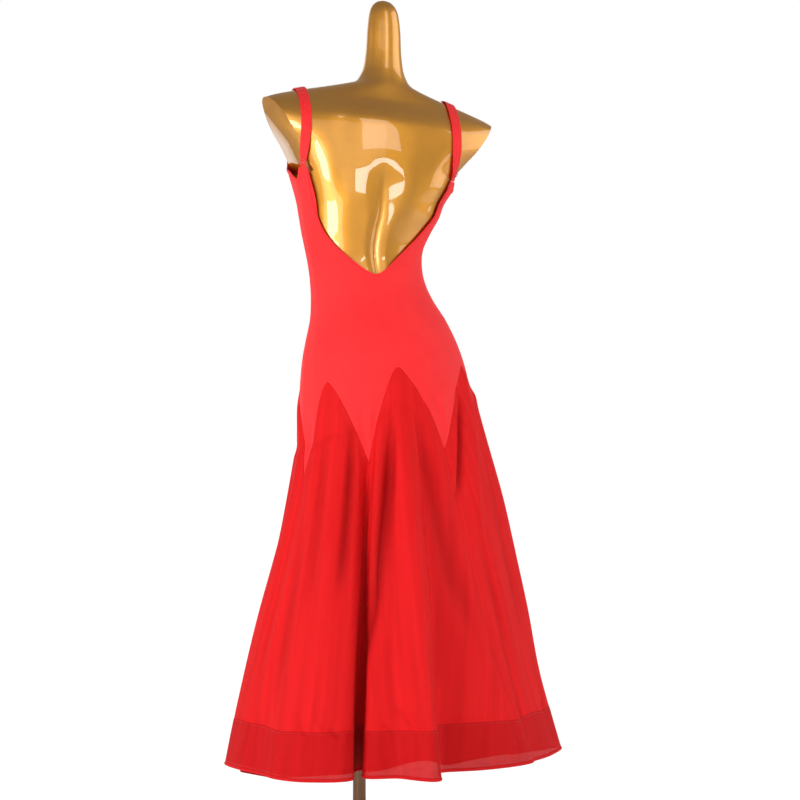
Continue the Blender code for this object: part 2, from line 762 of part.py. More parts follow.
def add_strap(frames, name):
    points = []
    faces = []
    last = len(frames) - 1
    for index, (place, _, across, out) in enumerate(frames):
        from_end = min(index, last - index) / last
        narrow = 1.0 - STRAP_NARROWING * (1.0 - smooth_step(from_end / STRAP_NARROW_SHARE))
        half = STRAP_WIDTH / 2 * narrow
        points += [place - across * half, place + across * half,
                   place + across * half + out * STRAP_WALL, place - across * half + out * STRAP_WALL]
    for index in range(last):
        start = index * 4
        for corner in range(4):
            after = (corner + 1) % 4
            faces.append((start + corner, start + 4 + corner, start + 4 + after, start + after))
    faces.append((0, 1, 2, 3))
    faces.append(tuple(last * 4 + corner for corner in (3, 2, 1, 0)))
    add_object("strap_" + name, points, faces, "red_jersey")


def add_slider(frames, name):
    """A flat frame that lies on the strap's outer face, just above its foot."""
    place, along, across, out = frames[SLIDER_STEP]
    width, depth, length = SLIDER_SIZE
    points = []
    for lift in (STRAP_WALL + SEAM_GAP, STRAP_WALL + SEAM_GAP + depth):
        for inset in (0.0, SLIDER_RIM):
            for side_across, side_along in ((-1, -1), (1, -1), (1, 1), (-1, 1)):
                points.append(place + out * lift + across * (side_across * (width / 2 - inset))
                              + along * (side_along * (length / 2 - inset)))
    faces = []
    for corner in range(4):
        after = (corner + 1) % 4
        outer, inner, top = 0, 4, 8
        faces.append((outer + corner, inner + corner, inner + after, outer + after))
        faces.append((top + outer + corner, top + outer + after, top + inner + after, top + inner + corner))
        faces.append((outer + corner, outer + after, top + outer + after, top + outer + corner))
        faces.append((inner + corner, top + inner + corner, top + inner + after, inner + after))
    add_object("strap_slider_" + name, points, faces, "red_enamel", 30.0)


def main():
    clear_scene()
    form = add_form()
    add_stand()
    add_bodice("bodice_back", back_top_edge(), bodice_foot_edge(0))
    add_bodice("bodice_front", front_top_edge(), bodice_foot_edge(3))
    for index in range(len(GORES)):
        add_gore(index)
    add_binding()
    bpy.context.view_layer.update()
    for side, name in ((1.0, "left"), (-1.0, "right")):
        frames = strap_frames(form, side)
        add_strap(frames, name)
        add_slider(frames, name)


main()
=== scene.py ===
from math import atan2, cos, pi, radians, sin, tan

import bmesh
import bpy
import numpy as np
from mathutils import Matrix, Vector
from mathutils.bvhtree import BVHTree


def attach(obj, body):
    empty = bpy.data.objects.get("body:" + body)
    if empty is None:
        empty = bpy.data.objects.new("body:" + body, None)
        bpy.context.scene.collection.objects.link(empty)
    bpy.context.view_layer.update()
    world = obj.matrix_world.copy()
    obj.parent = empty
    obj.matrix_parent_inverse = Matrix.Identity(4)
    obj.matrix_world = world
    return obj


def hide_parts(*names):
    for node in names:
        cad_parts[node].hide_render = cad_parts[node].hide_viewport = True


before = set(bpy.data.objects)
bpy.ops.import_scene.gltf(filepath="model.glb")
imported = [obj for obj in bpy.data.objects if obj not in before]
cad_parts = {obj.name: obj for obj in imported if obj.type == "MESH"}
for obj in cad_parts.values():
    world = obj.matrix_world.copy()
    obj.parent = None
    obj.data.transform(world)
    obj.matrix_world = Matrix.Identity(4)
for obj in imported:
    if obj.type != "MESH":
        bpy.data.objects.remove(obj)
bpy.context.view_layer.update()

# The looks of a long ballroom dress that stands on a limbless dress form.
#
# Metres, +Z up. The dress faces -Y and the wearer's left is +X. A place on the
# figure is a turn and a height: turn 0 is the middle of the back, +90 the
# wearer's right side, 180 the middle of the front. Turns and heights may be
# numbers or arrays of them.

# ------------------------------------------------------- sizes of the garment

EASE = 0.0026
WALL = 0.0016            # the solid's wall, whose outer face the cloth keeps
BAND_WALL = 0.0022
JERSEY = 0.0009          # thickness of each cloth
CHIFFON = 0.0006
BAND_CLOTH = 0.0012

HEM_HEIGHT = 0.125
BAND_HEIGHT = 0.083
BINDING_HEIGHT = 0.006
BINDING_WALL = 0.0034
SKIRT_CENTRE = (-0.067, 0.0065)
LEAVE_HEIGHT = 0.785
LEAVE_SLOPE = 0.075
LEAVE_SOFTNESS = 0.008
HANG_BOW = 0.0045

FRONT_NECK_HEIGHT = 1.205
FRONT_SCOOP_ROUNDNESS = 2.2

TURNED_EDGE = 0.0058     # width of the turned and stitched edge of the neck and armholes
TURNED_RISE = 0.0009
EDGE_STITCH_INSET = 0.0044
STITCH_SINK = 0.0002     # how far a thread lies in the cloth
HEM_STITCH_SINK = 0.0001
SEAM_TUCK = 0.0035       # how far a gore's cloth runs on under the bodice's point
SEAM_DIP = 0.0012        # cloth draws in along a seam
SEAM_DIP_WIDTH = 0.0036
FULLNESS = 0.0045        # how far the gores' cloth stands out between the seams
FULL_FROM_SEAM = 0.030   # this far from a seam and this far below the bodice it is full
FULL_FROM_TOP = 0.045
FULL_LOWEST = 0.24       # and is gone at this height
FULL_RUN_OUT = 0.20
CREASE_ROOM = 0.0006     # how far a crease may go into the clearance over the hips
CREASE_STARTS = 0.35     # shares of its length over which a crease starts and ends
CREASE_ENDS = 0.30
CREASE_SHADE_FULL = 0.016        # a trough this deep gets the full painted shade of a crease
BAND_WAVES = ((9, 0.0014, 40.0), (23, 0.0009, 110.0))    # times round, size, and where it starts

STRAP_WIDTH = 0.019
STRAP_WALL = 0.0020
STRAP_EASE = 0.0024
STRAP_MIDDLE = -0.0245
STRAP_REACH = 0.1398
STRAP_STEPS = 26
STRAP_PROBES = 60
PROBE_REACH = 0.5
STRAP_SWING_SHARE = 0.30
STRAP_LIFT_SHARE = 0.5
STRAP_FOOT_GAP = 0.0006
STRAP_SEWN_SHARE = 0.20
STRAP_CENTRE_HEIGHT = 1.235
STRAP_NARROWING = 0.30
STRAP_NARROW_SHARE = 0.12
STRAP_FINE = 8           # finer steps for each of the strap's
STRAP_RIDGE = 0.93       # height of the section's level 1, as a share of the wall
STRAP_GROOVE_LEVEL = 0.86
SLIDER_SIZE = (0.0180, 0.0014, 0.0075)
SLIDER_RIM = 0.0020
SLIDER_STEP = 1
SLIDER_CORNER = 0.0016
CORNER_STEPS = 6
ROD_SIDES = 8
SEAM_GAP = 0.0003

SHOULDER_ROLL = 5.8
ROLL_START = 1.10
ROLL_FULL = 1.25
SHOULDER_MIDDLE = -0.0325
SHOULDER_TWIST = 9.0
ARM_REACH = 0.2140
ARM_HEIGHT = 1.3200
ARM_SLANT = 33.0
ARM_FOOT = 1.190
ARM_CUT_SIZE = 0.30
ARM_CUT_TOP = 0.20
POLE_RADIUS = 0.012
POLE_BORE_DEPTH = 0.090
POLE_GAP = 0.0004
BASE_RADIUS = 0.140
BASE_HUB_TOP = 0.034
BASE_FLOOR = 0.006
SHARP_ANGLE = 38.0       # degrees between two faces that make their edge a sharp one
FORM_SHARP_ANGLE = 50.0

BODY_COLUMNS = ("height", "shift", "half_width", "back", "front")
BODY = (
    (1.5250, -0.0465, 0.0040, 0.0040, 0.0040),
    (1.5220, -0.0465, 0.0130, 0.0130, 0.0130),
    (1.5140, -0.0465, 0.0215, 0.0210, 0.0210),
    (1.5010, -0.0465, 0.0270, 0.0265, 0.0265),
    (1.4690, -0.0465, 0.0310, 0.0305, 0.0305),
    (1.4300, -0.0460, 0.0330, 0.0335, 0.0330),
    (1.4000, -0.0455, 0.0370, 0.0385, 0.0370),
    (1.3830, -0.0450, 0.0430, 0.0440, 0.0410),
    (1.3690, -0.0440, 0.0540, 0.0500, 0.0450),
    (1.3620, -0.0410, 0.0740, 0.0530, 0.0460),
    (1.3530, -0.0380, 0.1040, 0.0560, 0.0470),
    (1.3430, -0.0350, 0.1400, 0.0590, 0.0480),
    (1.3330, -0.0330, 0.1740, 0.0620, 0.0500),
    (1.3235, -0.0325, 0.2015, 0.0670, 0.0530),
    (1.3100, -0.0320, 0.2260, 0.0760, 0.0600),
    (1.2900, -0.0310, 0.2350, 0.0870, 0.0700),
    (1.2650, -0.0300, 0.2200, 0.0940, 0.0800),
    (1.2400, -0.0280, 0.1860, 0.0970, 0.0890),
    (1.2100, -0.0250, 0.1600, 0.0960, 0.0940),
    (1.1810, -0.0250, 0.1464, 0.0930, 0.0960),
    (1.1510, -0.0222, 0.1330, 0.0900, 0.0950),
    (1.1220, -0.0194, 0.1258, 0.0860, 0.0930),
    (1.0920, -0.0130, 0.1155, 0.0810, 0.0890),
    (1.0620, -0.0093, 0.1061, 0.0760, 0.0860),
    (1.0330, -0.0111, 0.1024, 0.0730, 0.0850),
    (1.0030, -0.0157, 0.1033, 0.0750, 0.0860),
    (0.9700, -0.0240, 0.1100, 0.0820, 0.0890),
    (0.9330, -0.0352, 0.1230, 0.0940, 0.0930),
    (0.8960, -0.0407, 0.1362, 0.1060, 0.0970),
    (0.8590, -0.0444, 0.1466, 0.1160, 0.1000),
    (0.8220, -0.0472, 0.1530, 0.1220, 0.1030),
    (0.7850, -0.0472, 0.1548, 0.1230, 0.1040),
    (0.7400, -0.0465, 0.1537, 0.1200, 0.1030),
    (0.7000, -0.0440, 0.1500, 0.1150, 0.1000),
    (0.6500, -0.0370, 0.1370, 0.1050, 0.0940),
    (0.6000, -0.0270, 0.1180, 0.0930, 0.0850),
    (0.5500, -0.0120, 0.0940, 0.0790, 0.0740),
    (0.5060, 0.0030, 0.0720, 0.0640, 0.0600),
)

# Each row: turn, height, how far it spreads in degrees and in height, and how far it rises
RISES = (
    (38.0, 1.245, 17.0, 0.050, 0.0050),
    (-38.0, 1.245, 17.0, 0.050, 0.0050),
    (142.0, 1.165, 21.0, 0.050, 0.0210),
    (-142.0, 1.165, 21.0, 0.050, 0.0210),
    (0.0, 1.300, 21.0, 0.024, 0.0090),
    (37.0, 1.170, 14.0, 0.040, 0.0060),
    (-37.0, 1.170, 14.0, 0.040, 0.0060),
    (90.0, 1.325, 24.0, 0.024, 0.0120),
)
SPINE_DEPTH = 0.0055
SPINE_SPREAD = 8.0
SPINE_MIDDLE = 1.110
SPINE_LENGTH = 0.085

# Each row: name, the seam's turn and height, the point's turn and height, and how the zigzag's
# rising and falling legs bow, with the sharper kick at the falling one's foot
GORES = (
    ("back_left", -70.5, 0.6450, -52.5, 0.8175, 1.7, 1.45, 0.00),
    ("back_centre", -20.3, 0.6730, 0.0, 0.8460, 1.9, 1.05, 0.50),
    ("back_right", 19.8, 0.6970, 62.0, 0.8490, 1.4, 1.25, 0.00),
    ("front_right", 86.0, 0.6900, 118.0, 0.8450, 1.5, 1.50, 0.00),
    ("front_centre", 151.0, 0.6750, 181.0, 0.8400, 1.5, 1.50, 0.00),
    ("front_left", 213.0, 0.6550, 252.0, 0.8200, 1.5, 1.70, 0.00),
)
KICK_SHARPNESS = 10.0
ROUNDING_STEPS = (-1.0, -0.6, -0.2, 0.2, 0.6, 1.0)
POINT_SOFTNESS = (0.8, 1.8, 1.0, 1.2, 1.2, 1.0)    # degrees over which each gore's point is rounded

# Each row: turn at the hips, turn at the hem, reach from the skirt's centre, drop of the hem
FLUTES = (
    (-72.0, -72.5, 0.325, 0.000),
    (-63.0, -60.4, 0.328, 0.000),
    (-54.0, -49.4, 0.350, 0.000),
    (-42.0, -39.0, 0.348, 0.000),
    (-32.0, -28.6, 0.305, 0.000),
    (-23.5, -34.5, 0.205, 0.000),
    (-20.0, -32.0, 0.187, 0.000),
    (-16.5, -28.5, 0.208, 0.000),
    (-12.0, -24.8, 0.277, 0.000),
    (-6.5, -12.7, 0.272, 0.000),
    (0.5, -0.6, 0.3156, 0.000),
    (8.0, 7.2, 0.222, 0.000),
    (14.0, 28.5, 0.235, 0.000),
    (22.0, 53.0, 0.262, 0.000),
    (38.0, 62.0, 0.262, 0.000),
    (54.0, 80.0, 0.294, 0.000),
    (68.5, 94.5, 0.327, 0.000),
    (77.0, 104.0, 0.303, 0.012),
    (86.0, 112.0, 0.272, 0.022),
    (98.0, 122.0, 0.312, 0.030),
    (110.0, 134.0, 0.290, 0.044),
    (122.0, 144.0, 0.262, 0.054),
    (137.0, 156.0, 0.312, 0.055),
    (151.0, 170.0, 0.272, 0.067),
    (163.0, 179.0, 0.315, 0.078),
    (174.0, 188.0, 0.285, 0.076),
    (186.0, 196.0, 0.262, 0.071),
    (199.0, 206.0, 0.316, 0.078),
    (213.0, 221.0, 0.272, 0.068),
    (227.0, 233.0, 0.314, 0.050),
    (238.0, 243.0, 0.288, 0.036),
    (249.0, 252.0, 0.264, 0.024),
    (262.0, 262.5, 0.298, 0.011),
    (274.0, 269.6, 0.318, 0.004),
)

# The bodice's upper edges: turn and height
BACK_NECK = (
    (0.0, 1.0146),
    (10.5, 1.0235),
    (22.0, 1.0405),
    (33.0, 1.0578),
    (43.5, 1.0775),
    (52.0, 1.1010),
    (58.5, 1.1310),
    (61.3, 1.1640),
)
BACK_ARMHOLE = (
    (57.0, 1.199),
    (67.0, 1.199),
    (75.5, 1.183),
    (82.5, 1.186),
    (90.0, 1.193),
)
FRONT_ARMHOLE = (
    (90.0, 1.193),
    (99.0, 1.198),
    (108.0, 1.201),
    (117.0, 1.208),
    (125.0, 1.226),
    (132.0, 1.255),
    (139.5, 1.255),
)

# Soft creases. Each runs straight from its high end to its low end; a negative
# depth is a trough. Each row: turn and height at its high end, turn and height at
# its low end, its width at each end, and its depth.
SKIRT_CREASES = (
    (-31.6, 0.785, -37.6, 0.400, 0.0048, 0.0090, -0.0120),
    (-42.0, 0.760, -40.5, 0.215, 0.0080, 0.0160, 0.0051),
    (-54.0, 0.760, -48.0, 0.380, 0.0080, 0.0150, -0.0054),
    (-64.5, 0.520, -67.0, 0.190, 0.0060, 0.0110, 0.0051),
    (-59.0, 0.600, -60.5, 0.230, 0.0070, 0.0130, -0.0037),
    (-5.2, 0.800, -14.2, 0.300, 0.0060, 0.0130, -0.0150),
    (-20.4, 0.745, -26.0, 0.260, 0.0022, 0.0050, -0.0070),
    (10.4, 0.800, 14.4, 0.360, 0.0085, 0.0130, -0.0080),
    (16.2, 0.660, 15.6, 0.330, 0.0060, 0.0090, -0.0040),
    (-16.5, 0.660, -18.0, 0.330, 0.0040, 0.0055, 0.0048),
    (6.9, 0.780, 8.4, 0.330, 0.0030, 0.0045, 0.0036),
    (48.0, 0.815, 17.5, 0.590, 0.0034, 0.0055, -0.0110),
    (54.0, 0.800, 25.0, 0.500, 0.0080, 0.0120, 0.0065),
    (80.0, 0.860, 80.0, 0.765, 0.0260, 0.0300, 0.0048),
    (30.0, 0.560, 30.0, 0.130, 0.0070, 0.0120, -0.0044),
    (38.0, 0.640, 42.0, 0.160, 0.0090, 0.0160, 0.0051),
    (56.0, 0.760, 52.0, 0.330, 0.0070, 0.0130, -0.0041),
    (70.0, 0.740, 68.0, 0.250, 0.0080, 0.0150, 0.0048),
    (92.0, 0.740, 95.0, 0.220, 0.0080, 0.0150, -0.0071),
    (104.0, 0.780, 101.0, 0.350, 0.0070, 0.0120, 0.0044),
    (116.0, 0.800, 119.0, 0.200, 0.0080, 0.0150, -0.0082),
    (128.0, 0.770, 131.0, 0.300, 0.0070, 0.0130, 0.0051),
    (143.0, 0.720, 146.0, 0.180, 0.0070, 0.0140, -0.0068),
    (158.0, 0.720, 155.0, 0.260, 0.0080, 0.0140, 0.0051),
    (170.0, 0.790, 167.0, 0.170, 0.0080, 0.0150, -0.0085),
    (181.0, 0.800, 180.0, 0.420, 0.0070, 0.0110, 0.0041),
    (192.0, 0.770, 195.0, 0.220, 0.0080, 0.0150, -0.0071),
    (206.0, 0.710, 204.0, 0.300, 0.0070, 0.0130, 0.0051),
    (221.0, 0.720, 223.0, 0.170, 0.0070, 0.0130, -0.0065),
    (236.0, 0.770, 234.0, 0.240, 0.0080, 0.0140, 0.0048),
    (246.0, 0.790, 248.0, 0.330, 0.0080, 0.0150, -0.0078),
    (258.0, 0.790, 256.0, 0.180, 0.0070, 0.0130, 0.0044),
    (271.0, 0.720, 268.0, 0.240, 0.0070, 0.0120, -0.0058),
)

# Short puckers where the hem band is joined to the gores
BAND_PUCKERS = (
    (-48.0, 0.236, -44.5, 0.199, 0.0035, 0.0050, -0.0026),
    (-38.5, 0.222, -35.5, 0.196, 0.0035, 0.0050, -0.0035),
    (-41.5, 0.228, -39.5, 0.199, 0.0030, 0.0050, 0.0026),
    (-6.8, 0.252, -3.2, 0.204, 0.0040, 0.0055, -0.0038),
    (-4.2, 0.246, -0.6, 0.206, 0.0035, 0.0050, 0.0032),
    (-9.5, 0.226, -7.2, 0.200, 0.0030, 0.0045, -0.0022),
    (28.0, 0.240, 31.5, 0.200, 0.0040, 0.0060, -0.0026),
    (58.0, 0.232, 55.5, 0.200, 0.0035, 0.0055, -0.0029),
    (96.0, 0.236, 99.0, 0.200, 0.0035, 0.0055, -0.0032),
    (124.0, 0.242, 121.0, 0.204, 0.0040, 0.0060, -0.0029),
    (148.0, 0.232, 151.5, 0.200, 0.0035, 0.0055, 0.0029),
    (176.0, 0.246, 173.0, 0.202, 0.0040, 0.0060, -0.0035),
    (203.0, 0.236, 206.0, 0.200, 0.0035, 0.0055, -0.0029),
    (229.0, 0.240, 226.5, 0.202, 0.0035, 0.0055, 0.0029),
    (254.0, 0.232, 257.0, 0.200, 0.0040, 0.0060, -0.0032),
)

# Puckers of the tight bodice: down into its points, and drawn across the waist
BODICE_CREASES = (
    (-26.0, 0.795, -24.8, 0.700, 0.0040, 0.0030, -0.0014),
    (-20.5, 0.775, -19.6, 0.690, 0.0035, 0.0028, 0.0022),
    (-15.5, 0.790, -17.6, 0.715, 0.0035, 0.0028, -0.0012),
    (24.5, 0.810, 20.5, 0.725, 0.0038, 0.0028, -0.0014),
    (29.0, 0.805, 23.5, 0.715, 0.0035, 0.0028, 0.0022),
    (-68.5, 0.760, -71.0, 0.670, 0.0040, 0.0030, -0.0012),
    (84.0, 0.800, 86.0, 0.710, 0.0040, 0.0028, -0.0014),
    (91.0, 0.790, 87.5, 0.715, 0.0035, 0.0028, 0.0013),
    (147.0, 0.790, 150.5, 0.700, 0.0040, 0.0028, -0.0014),
    (155.0, 0.780, 152.0, 0.700, 0.0035, 0.0028, 0.0013),
    (209.0, 0.770, 212.0, 0.680, 0.0040, 0.0028, -0.0014),
    (217.0, 0.765, 214.0, 0.685, 0.0035, 0.0028, 0.0012),
    (66.0, 1.100, 40.0, 1.040, 0.0090, 0.0070, -0.0013),
    (60.0, 1.060, 34.0, 1.012, 0.0080, 0.0070, 0.0010),
    (-64.0, 1.075, -44.0, 1.022, 0.0080, 0.0070, -0.0010),
    (112.0, 1.120, 132.0, 1.075, 0.0090, 0.0070, -0.0014),
    (248.0, 1.115, 226.0, 1.072, 0.0090, 0.0070, -0.0014),
)

# The form's finer relief: the hollows beside its shoulder blades and a narrow groove down the spine
FORM_CREASES = (
    (-13.0, 1.335, -40.0, 1.100, 0.0120, 0.0150, -0.0022),
    (14.0, 1.335, 40.0, 1.100, 0.0130, 0.0160, -0.0014),
    (0.0, 1.215, 2.6, 0.960, 0.0045, 0.0035, -0.0030),
    (-9.0, 1.150, -7.0, 0.990, 0.0090, 0.0080, 0.0018),
    (10.0, 1.150, 12.0, 0.990, 0.0090, 0.0080, 0.0018),
)

# ---------------------------------------------------------------- the figure


def smooth_step(value):
    value = np.clip(value, 0.0, 1.0)
    return value * value * (3.0 - 2.0 * value)


def curve_value(rows, column, where):
    """A smooth curve through one column of a table whose first column rises."""
    table = np.asarray(rows, float)
    keys, values = table[:, 0], table[:, column]
    last = len(keys) - 1
    index = np.clip(np.searchsorted(keys, where) - 1, 0, last - 1)
    before, after, beyond = np.maximum(index - 1, 0), index + 1, np.minimum(index + 2, last)
    x0, x1, x2, x3 = keys[before], keys[index], keys[after], keys[beyond]
    y0, y1, y2, y3 = values[before], values[index], values[after], values[beyond]
    span = x2 - x1
    slope_in = (y2 - y0) / (x2 - x0)
    slope_out = (y3 - y1) / (x3 - x1)
    t = (where - x1) / span
    return ((2 * t ** 3 - 3 * t ** 2 + 1) * y1 + (t ** 3 - 2 * t ** 2 + t) * span * slope_in
            + (3 * t ** 2 - 2 * t ** 3) * y2 + (t ** 3 - t ** 2) * span * slope_out)


def lapped(rows):
    """The flutes once round, with two more at each end, so that the curve closes smoothly."""
    before = [(hip - 360.0, hem - 360.0, *rest) for hip, hem, *rest in rows[-2:]]
    after = [(hip + 360.0, hem + 360.0, *rest) for hip, hem, *rest in rows[:2]]
    return (*before, *rows, *after)


BODY_RISING = tuple(sorted(BODY))
FLUTES_ROUND = lapped(FLUTES)


def body_size(name, height):
    low, high = BODY_RISING[0][0], BODY_RISING[-1][0]
    return curve_value(BODY_RISING, BODY_COLUMNS.index(name), np.clip(height, low, high))


def turn_between(first, second):
    return (first - second + 180.0) % 360.0 - 180.0


def past(turn, start):
    """The same turn, a whole round later if it comes before the start."""
    return turn + 360.0 if turn < start else turn


def figure_rise(turn, height):
    total = 0.0
    for centre, level, turn_spread, height_spread, rise in RISES:
        across = turn_between(turn, centre) / turn_spread
        along = (height - level) / height_spread
        total = total + rise * np.exp(-0.5 * (across * across + along * along))
    return total


def spine_hollow(turn, height):
    across = turn_between(turn, 0.0) / SPINE_SPREAD
    along = (height - SPINE_MIDDLE) / SPINE_LENGTH
    return SPINE_DEPTH * np.exp(-0.5 * across * across - 0.5 * along ** 4)


def body_point(turn, height, out=0.0, hollow=False):
    """A point on the figure's skin, moved out by a clearance."""
    turn, height = np.asarray(turn, float), np.asarray(height, float)
    angle = np.radians(turn)
    reach = figure_rise(turn, height) + out
    if hollow:
        reach = reach - spine_hollow(turn, height)
    at_back = np.cos(angle) > 0.0
    depth = np.where(at_back, body_size("back", height), body_size("front", height)) + reach
    across = -(body_size("half_width", height) + reach) * np.sin(angle)
    roll = SHOULDER_ROLL * smooth_step((height - ROLL_START) / (ROLL_FULL - ROLL_START))
    return np.stack((body_size("shift", height) + across, depth * np.cos(angle),
                     height + across * np.tan(np.radians(roll))), -1)


# ------------------------------------------------------------ the cloth's form

def hem_point(turn):
    first = FLUTES[0][0]
    hip_turn = (turn - first) % 360.0 + first
    hem_turn, reach, drop = (curve_value(FLUTES_ROUND, column, hip_turn) for column in (1, 2, 3))
    angle = np.radians(hem_turn)
    return np.stack((SKIRT_CENTRE[0] - reach * np.sin(angle),
                     SKIRT_CENTRE[1] + reach * np.cos(angle), HEM_HEIGHT - drop), -1)


def cloth_point(turn, height):
    """The solid cloth's inner face: on the figure to the hips, then straight to the hem."""
    turn, height = np.broadcast_arrays(np.asarray(turn, float), np.asarray(height, float))
    angle = np.radians(turn)
    leave = LEAVE_HEIGHT + LEAVE_SLOPE * np.sin(angle)
    worn = body_point(turn, height, EASE)
    fall = np.maximum(0.0, (leave - height) / (leave - HEM_HEIGHT))
    start = body_point(turn, leave, EASE)
    away = np.stack((-np.sin(angle), np.cos(angle), np.zeros_like(angle)), -1)
    bow = HANG_BOW * np.sin(2.0 * pi * fall) * np.sin(angle)
    hanging = start + (hem_point(turn) - start) * fall[..., None] + away * bow[..., None]
    stand_off = ((hanging - worn) * away).sum(-1)
    hung = worn + (hanging - worn) * smooth_step(stand_off / LEAVE_SOFTNESS)[..., None]
    return np.where((height >= leave)[..., None], worn, hung)


def unit(vectors):
    return vectors / np.linalg.norm(vectors, axis=-1, keepdims=True)


def faded(size, distance, width):
    """A size that fades to nothing over a width, from an edge inward."""
    return size * (1.0 - smooth_step(distance / width))


def hump(size, distance, spread):
    """A size that falls off smoothly to both sides."""
    return size * np.exp(-0.5 * (distance / spread) ** 2)


FRAME_TURN = 0.4
FRAME_DROP = 0.001


def cloth_frame(turn, height):
    """The point, the ways round, down and out, and the metres that one degree of turn covers."""
    round_it = cloth_point(turn + FRAME_TURN, height) - cloth_point(turn - FRAME_TURN, height)
    down = unit(cloth_point(turn, height - FRAME_DROP) - cloth_point(turn, height + FRAME_DROP))
    stretch = np.linalg.norm(round_it, axis=-1) / (2.0 * FRAME_TURN)
    around = unit(round_it)
    return cloth_point(turn, height), around, down, unit(np.cross(down, around)), stretch


def crease_depth(creases, turn, height, stretch):
    """How far the cloth is moved out by a table of creases."""
    total = np.zeros_like(height)
    for turn_high, high, turn_low, low, width_high, width_low, depth in creases:
        share = (high - height) / (high - low)
        line = turn_high + (turn_low - turn_high) * np.clip(share, 0.0, 1.0)
        width = width_high + (width_low - width_high) * np.clip(share, 0.0, 1.0)
        ends = smooth_step(share / CREASE_STARTS) * smooth_step((1.0 - share) / CREASE_ENDS)
        total = total + depth * ends * hump(1.0, turn_between(turn, line) * stretch, width)
    return total


def leg_fall(share, bow, kick):
    """How far a leg of the zigzag has come down, from 0 at its point to 1 at the seam."""
    share = np.clip(share, 0.0, 1.0)
    return (1.0 - kick) * share ** bow + kick * share ** KICK_SHARPNESS


def sharp_zigzag(turn):
    turn = (np.asarray(turn, float) - GORES[0][1]) % 360.0 + GORES[0][1]
    result = np.zeros_like(turn)
    for index, (_, seam, low, point, high, rise_bow, fall_bow, fall_kick) in enumerate(GORES):
        next_seam, next_low = GORES[(index + 1) % len(GORES)][1:3]
        next_seam = past(next_seam, seam)
        to_point, past_point = (point - turn) / (point - seam), (turn - point) / (next_seam - point)
        rising = high - (high - low) * leg_fall(to_point, rise_bow, 0.0)
        falling = high - (high - next_low) * leg_fall(past_point, fall_bow, fall_kick)
        result = np.where((turn >= seam) & (turn <= point), rising, result)
        result = np.where((turn > point) & (turn <= next_seam), falling, result)
    return result


def zigzag_height(turn):
    """The seam between the bodice and the gores, at any turn, with its upper points rounded."""
    turn = np.asarray(turn, float)
    result = sharp_zigzag(turn)
    for (_, _, _, point, *_), soft in zip(GORES, POINT_SOFTNESS):
        near = faded(1.0, np.abs(turn_between(turn, point)) - soft, 2.0 * soft)
        rounded = sum(sharp_zigzag(turn + soft * near * step) for step in ROUNDING_STEPS)
        result = np.where(near > 0.0, rounded / len(ROUNDING_STEPS), result)
    return result


# ------------------------------------------------------------------- meshes

def numbered(*shape):
    """A grid of point numbers."""
    return np.arange(np.prod(shape)).reshape(shape)


def quads(at):
    """Faces between the neighbouring rows and columns of a grid of point numbers."""
    return np.stack((at[:-1, :-1], at[:-1, 1:], at[1:, 1:], at[1:, :-1]), -1).reshape(-1, 4)


def tube_faces(at, looped=False):
    """Faces of a tube whose rings are a grid's rows: joined in a loop, or closed at both ends."""
    at = np.hstack((at, at[:, :1]))
    if looped:
        return quads(np.vstack((at, at[:1])).T)
    return quads(at.T).tolist() + [at[0, :-1].tolist(), at[-1, -2::-1].tolist()]


def wall_faces(columns, rows):
    """Faces of a closed wall whose outer points come first, then its inner ones."""
    outer = numbered(columns, rows)
    inner = outer + columns * rows
    rims = [(inner[:, 0], outer[:, 0]), (outer[:, -1], inner[:, -1])]
    sides = [(inner[0], outer[0]), (outer[-1], inner[-1])]
    return np.concatenate([quads(outer), quads(inner.T), *(quads(np.stack(rim, 1)) for rim in rims),
                           *(quads(np.stack(side)) for side in sides)])


def placed(name, data):
    made = bpy.data.objects.new(name, data)
    bpy.context.collection.objects.link(made)
    return made


def add_mesh(name, points, faces, finish, uv=None, sharp=SHARP_ANGLE):
    """A mesh from arrays; faces are an array of quads, or a list of polygons."""
    mesh = bpy.data.meshes.new(name)
    if isinstance(faces, np.ndarray):
        mesh.vertices.add(len(points))
        mesh.vertices.foreach_set("co", np.asarray(points, np.float32).ravel())
        mesh.loops.add(faces.size)
        mesh.loops.foreach_set("vertex_index", faces.astype(np.int32).ravel())
        mesh.polygons.add(len(faces))
        mesh.polygons.foreach_set("loop_start", np.arange(0, faces.size, 4, dtype=np.int32))
        mesh.update(calc_edges=True)
    else:
        mesh.from_pydata([tuple(point) for point in points], [], faces)
    mesh.validate()
    if uv is not None:
        layer = mesh.uv_layers.new(name="threads")
        layer.data.foreach_set("uv", np.asarray(uv, np.float32)[faces.ravel()].ravel())
    mesh.shade_smooth()
    mesh.set_sharp_from_angle(angle=radians(sharp))
    mesh.materials.append(finish)
    made = placed(name, mesh)
    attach(made, "root")
    return made


def shown_for(piece, part):
    """Hides a part of the row, so that the piece stands in its place."""
    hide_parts(part)
    return piece


def turned_outward(piece):
    mesh = bmesh.new()
    mesh.from_mesh(piece.data)
    if mesh.calc_volume(signed=True) < 0.0:
        bmesh.ops.reverse_faces(mesh, faces=mesh.faces)
        mesh.to_mesh(piece.data)
    mesh.free()
    return piece


def run_on(near, end, count):
    """Rows that start as given and run on evenly to their end."""
    last = near[:, -1:]
    even = last + (end - last) * np.linspace(0.0, 1.0, count)[None, 1:]
    return np.concatenate((near, even), axis=1)


def lengths_along(points, axis=0):
    """Metres along a line of points, or along one axis of a grid of them."""
    steps = np.diff(points, axis=axis, prepend=points.take([0], axis))
    return np.cumsum(np.linalg.norm(steps, axis=-1), axis=axis)


def thread_places(points):
    """Metres round and metres down at each point of a grid, measured along the cloth."""
    across = lengths_along(points)
    return np.stack((across - across[len(across) // 2], lengths_along(points, 1)), -1)


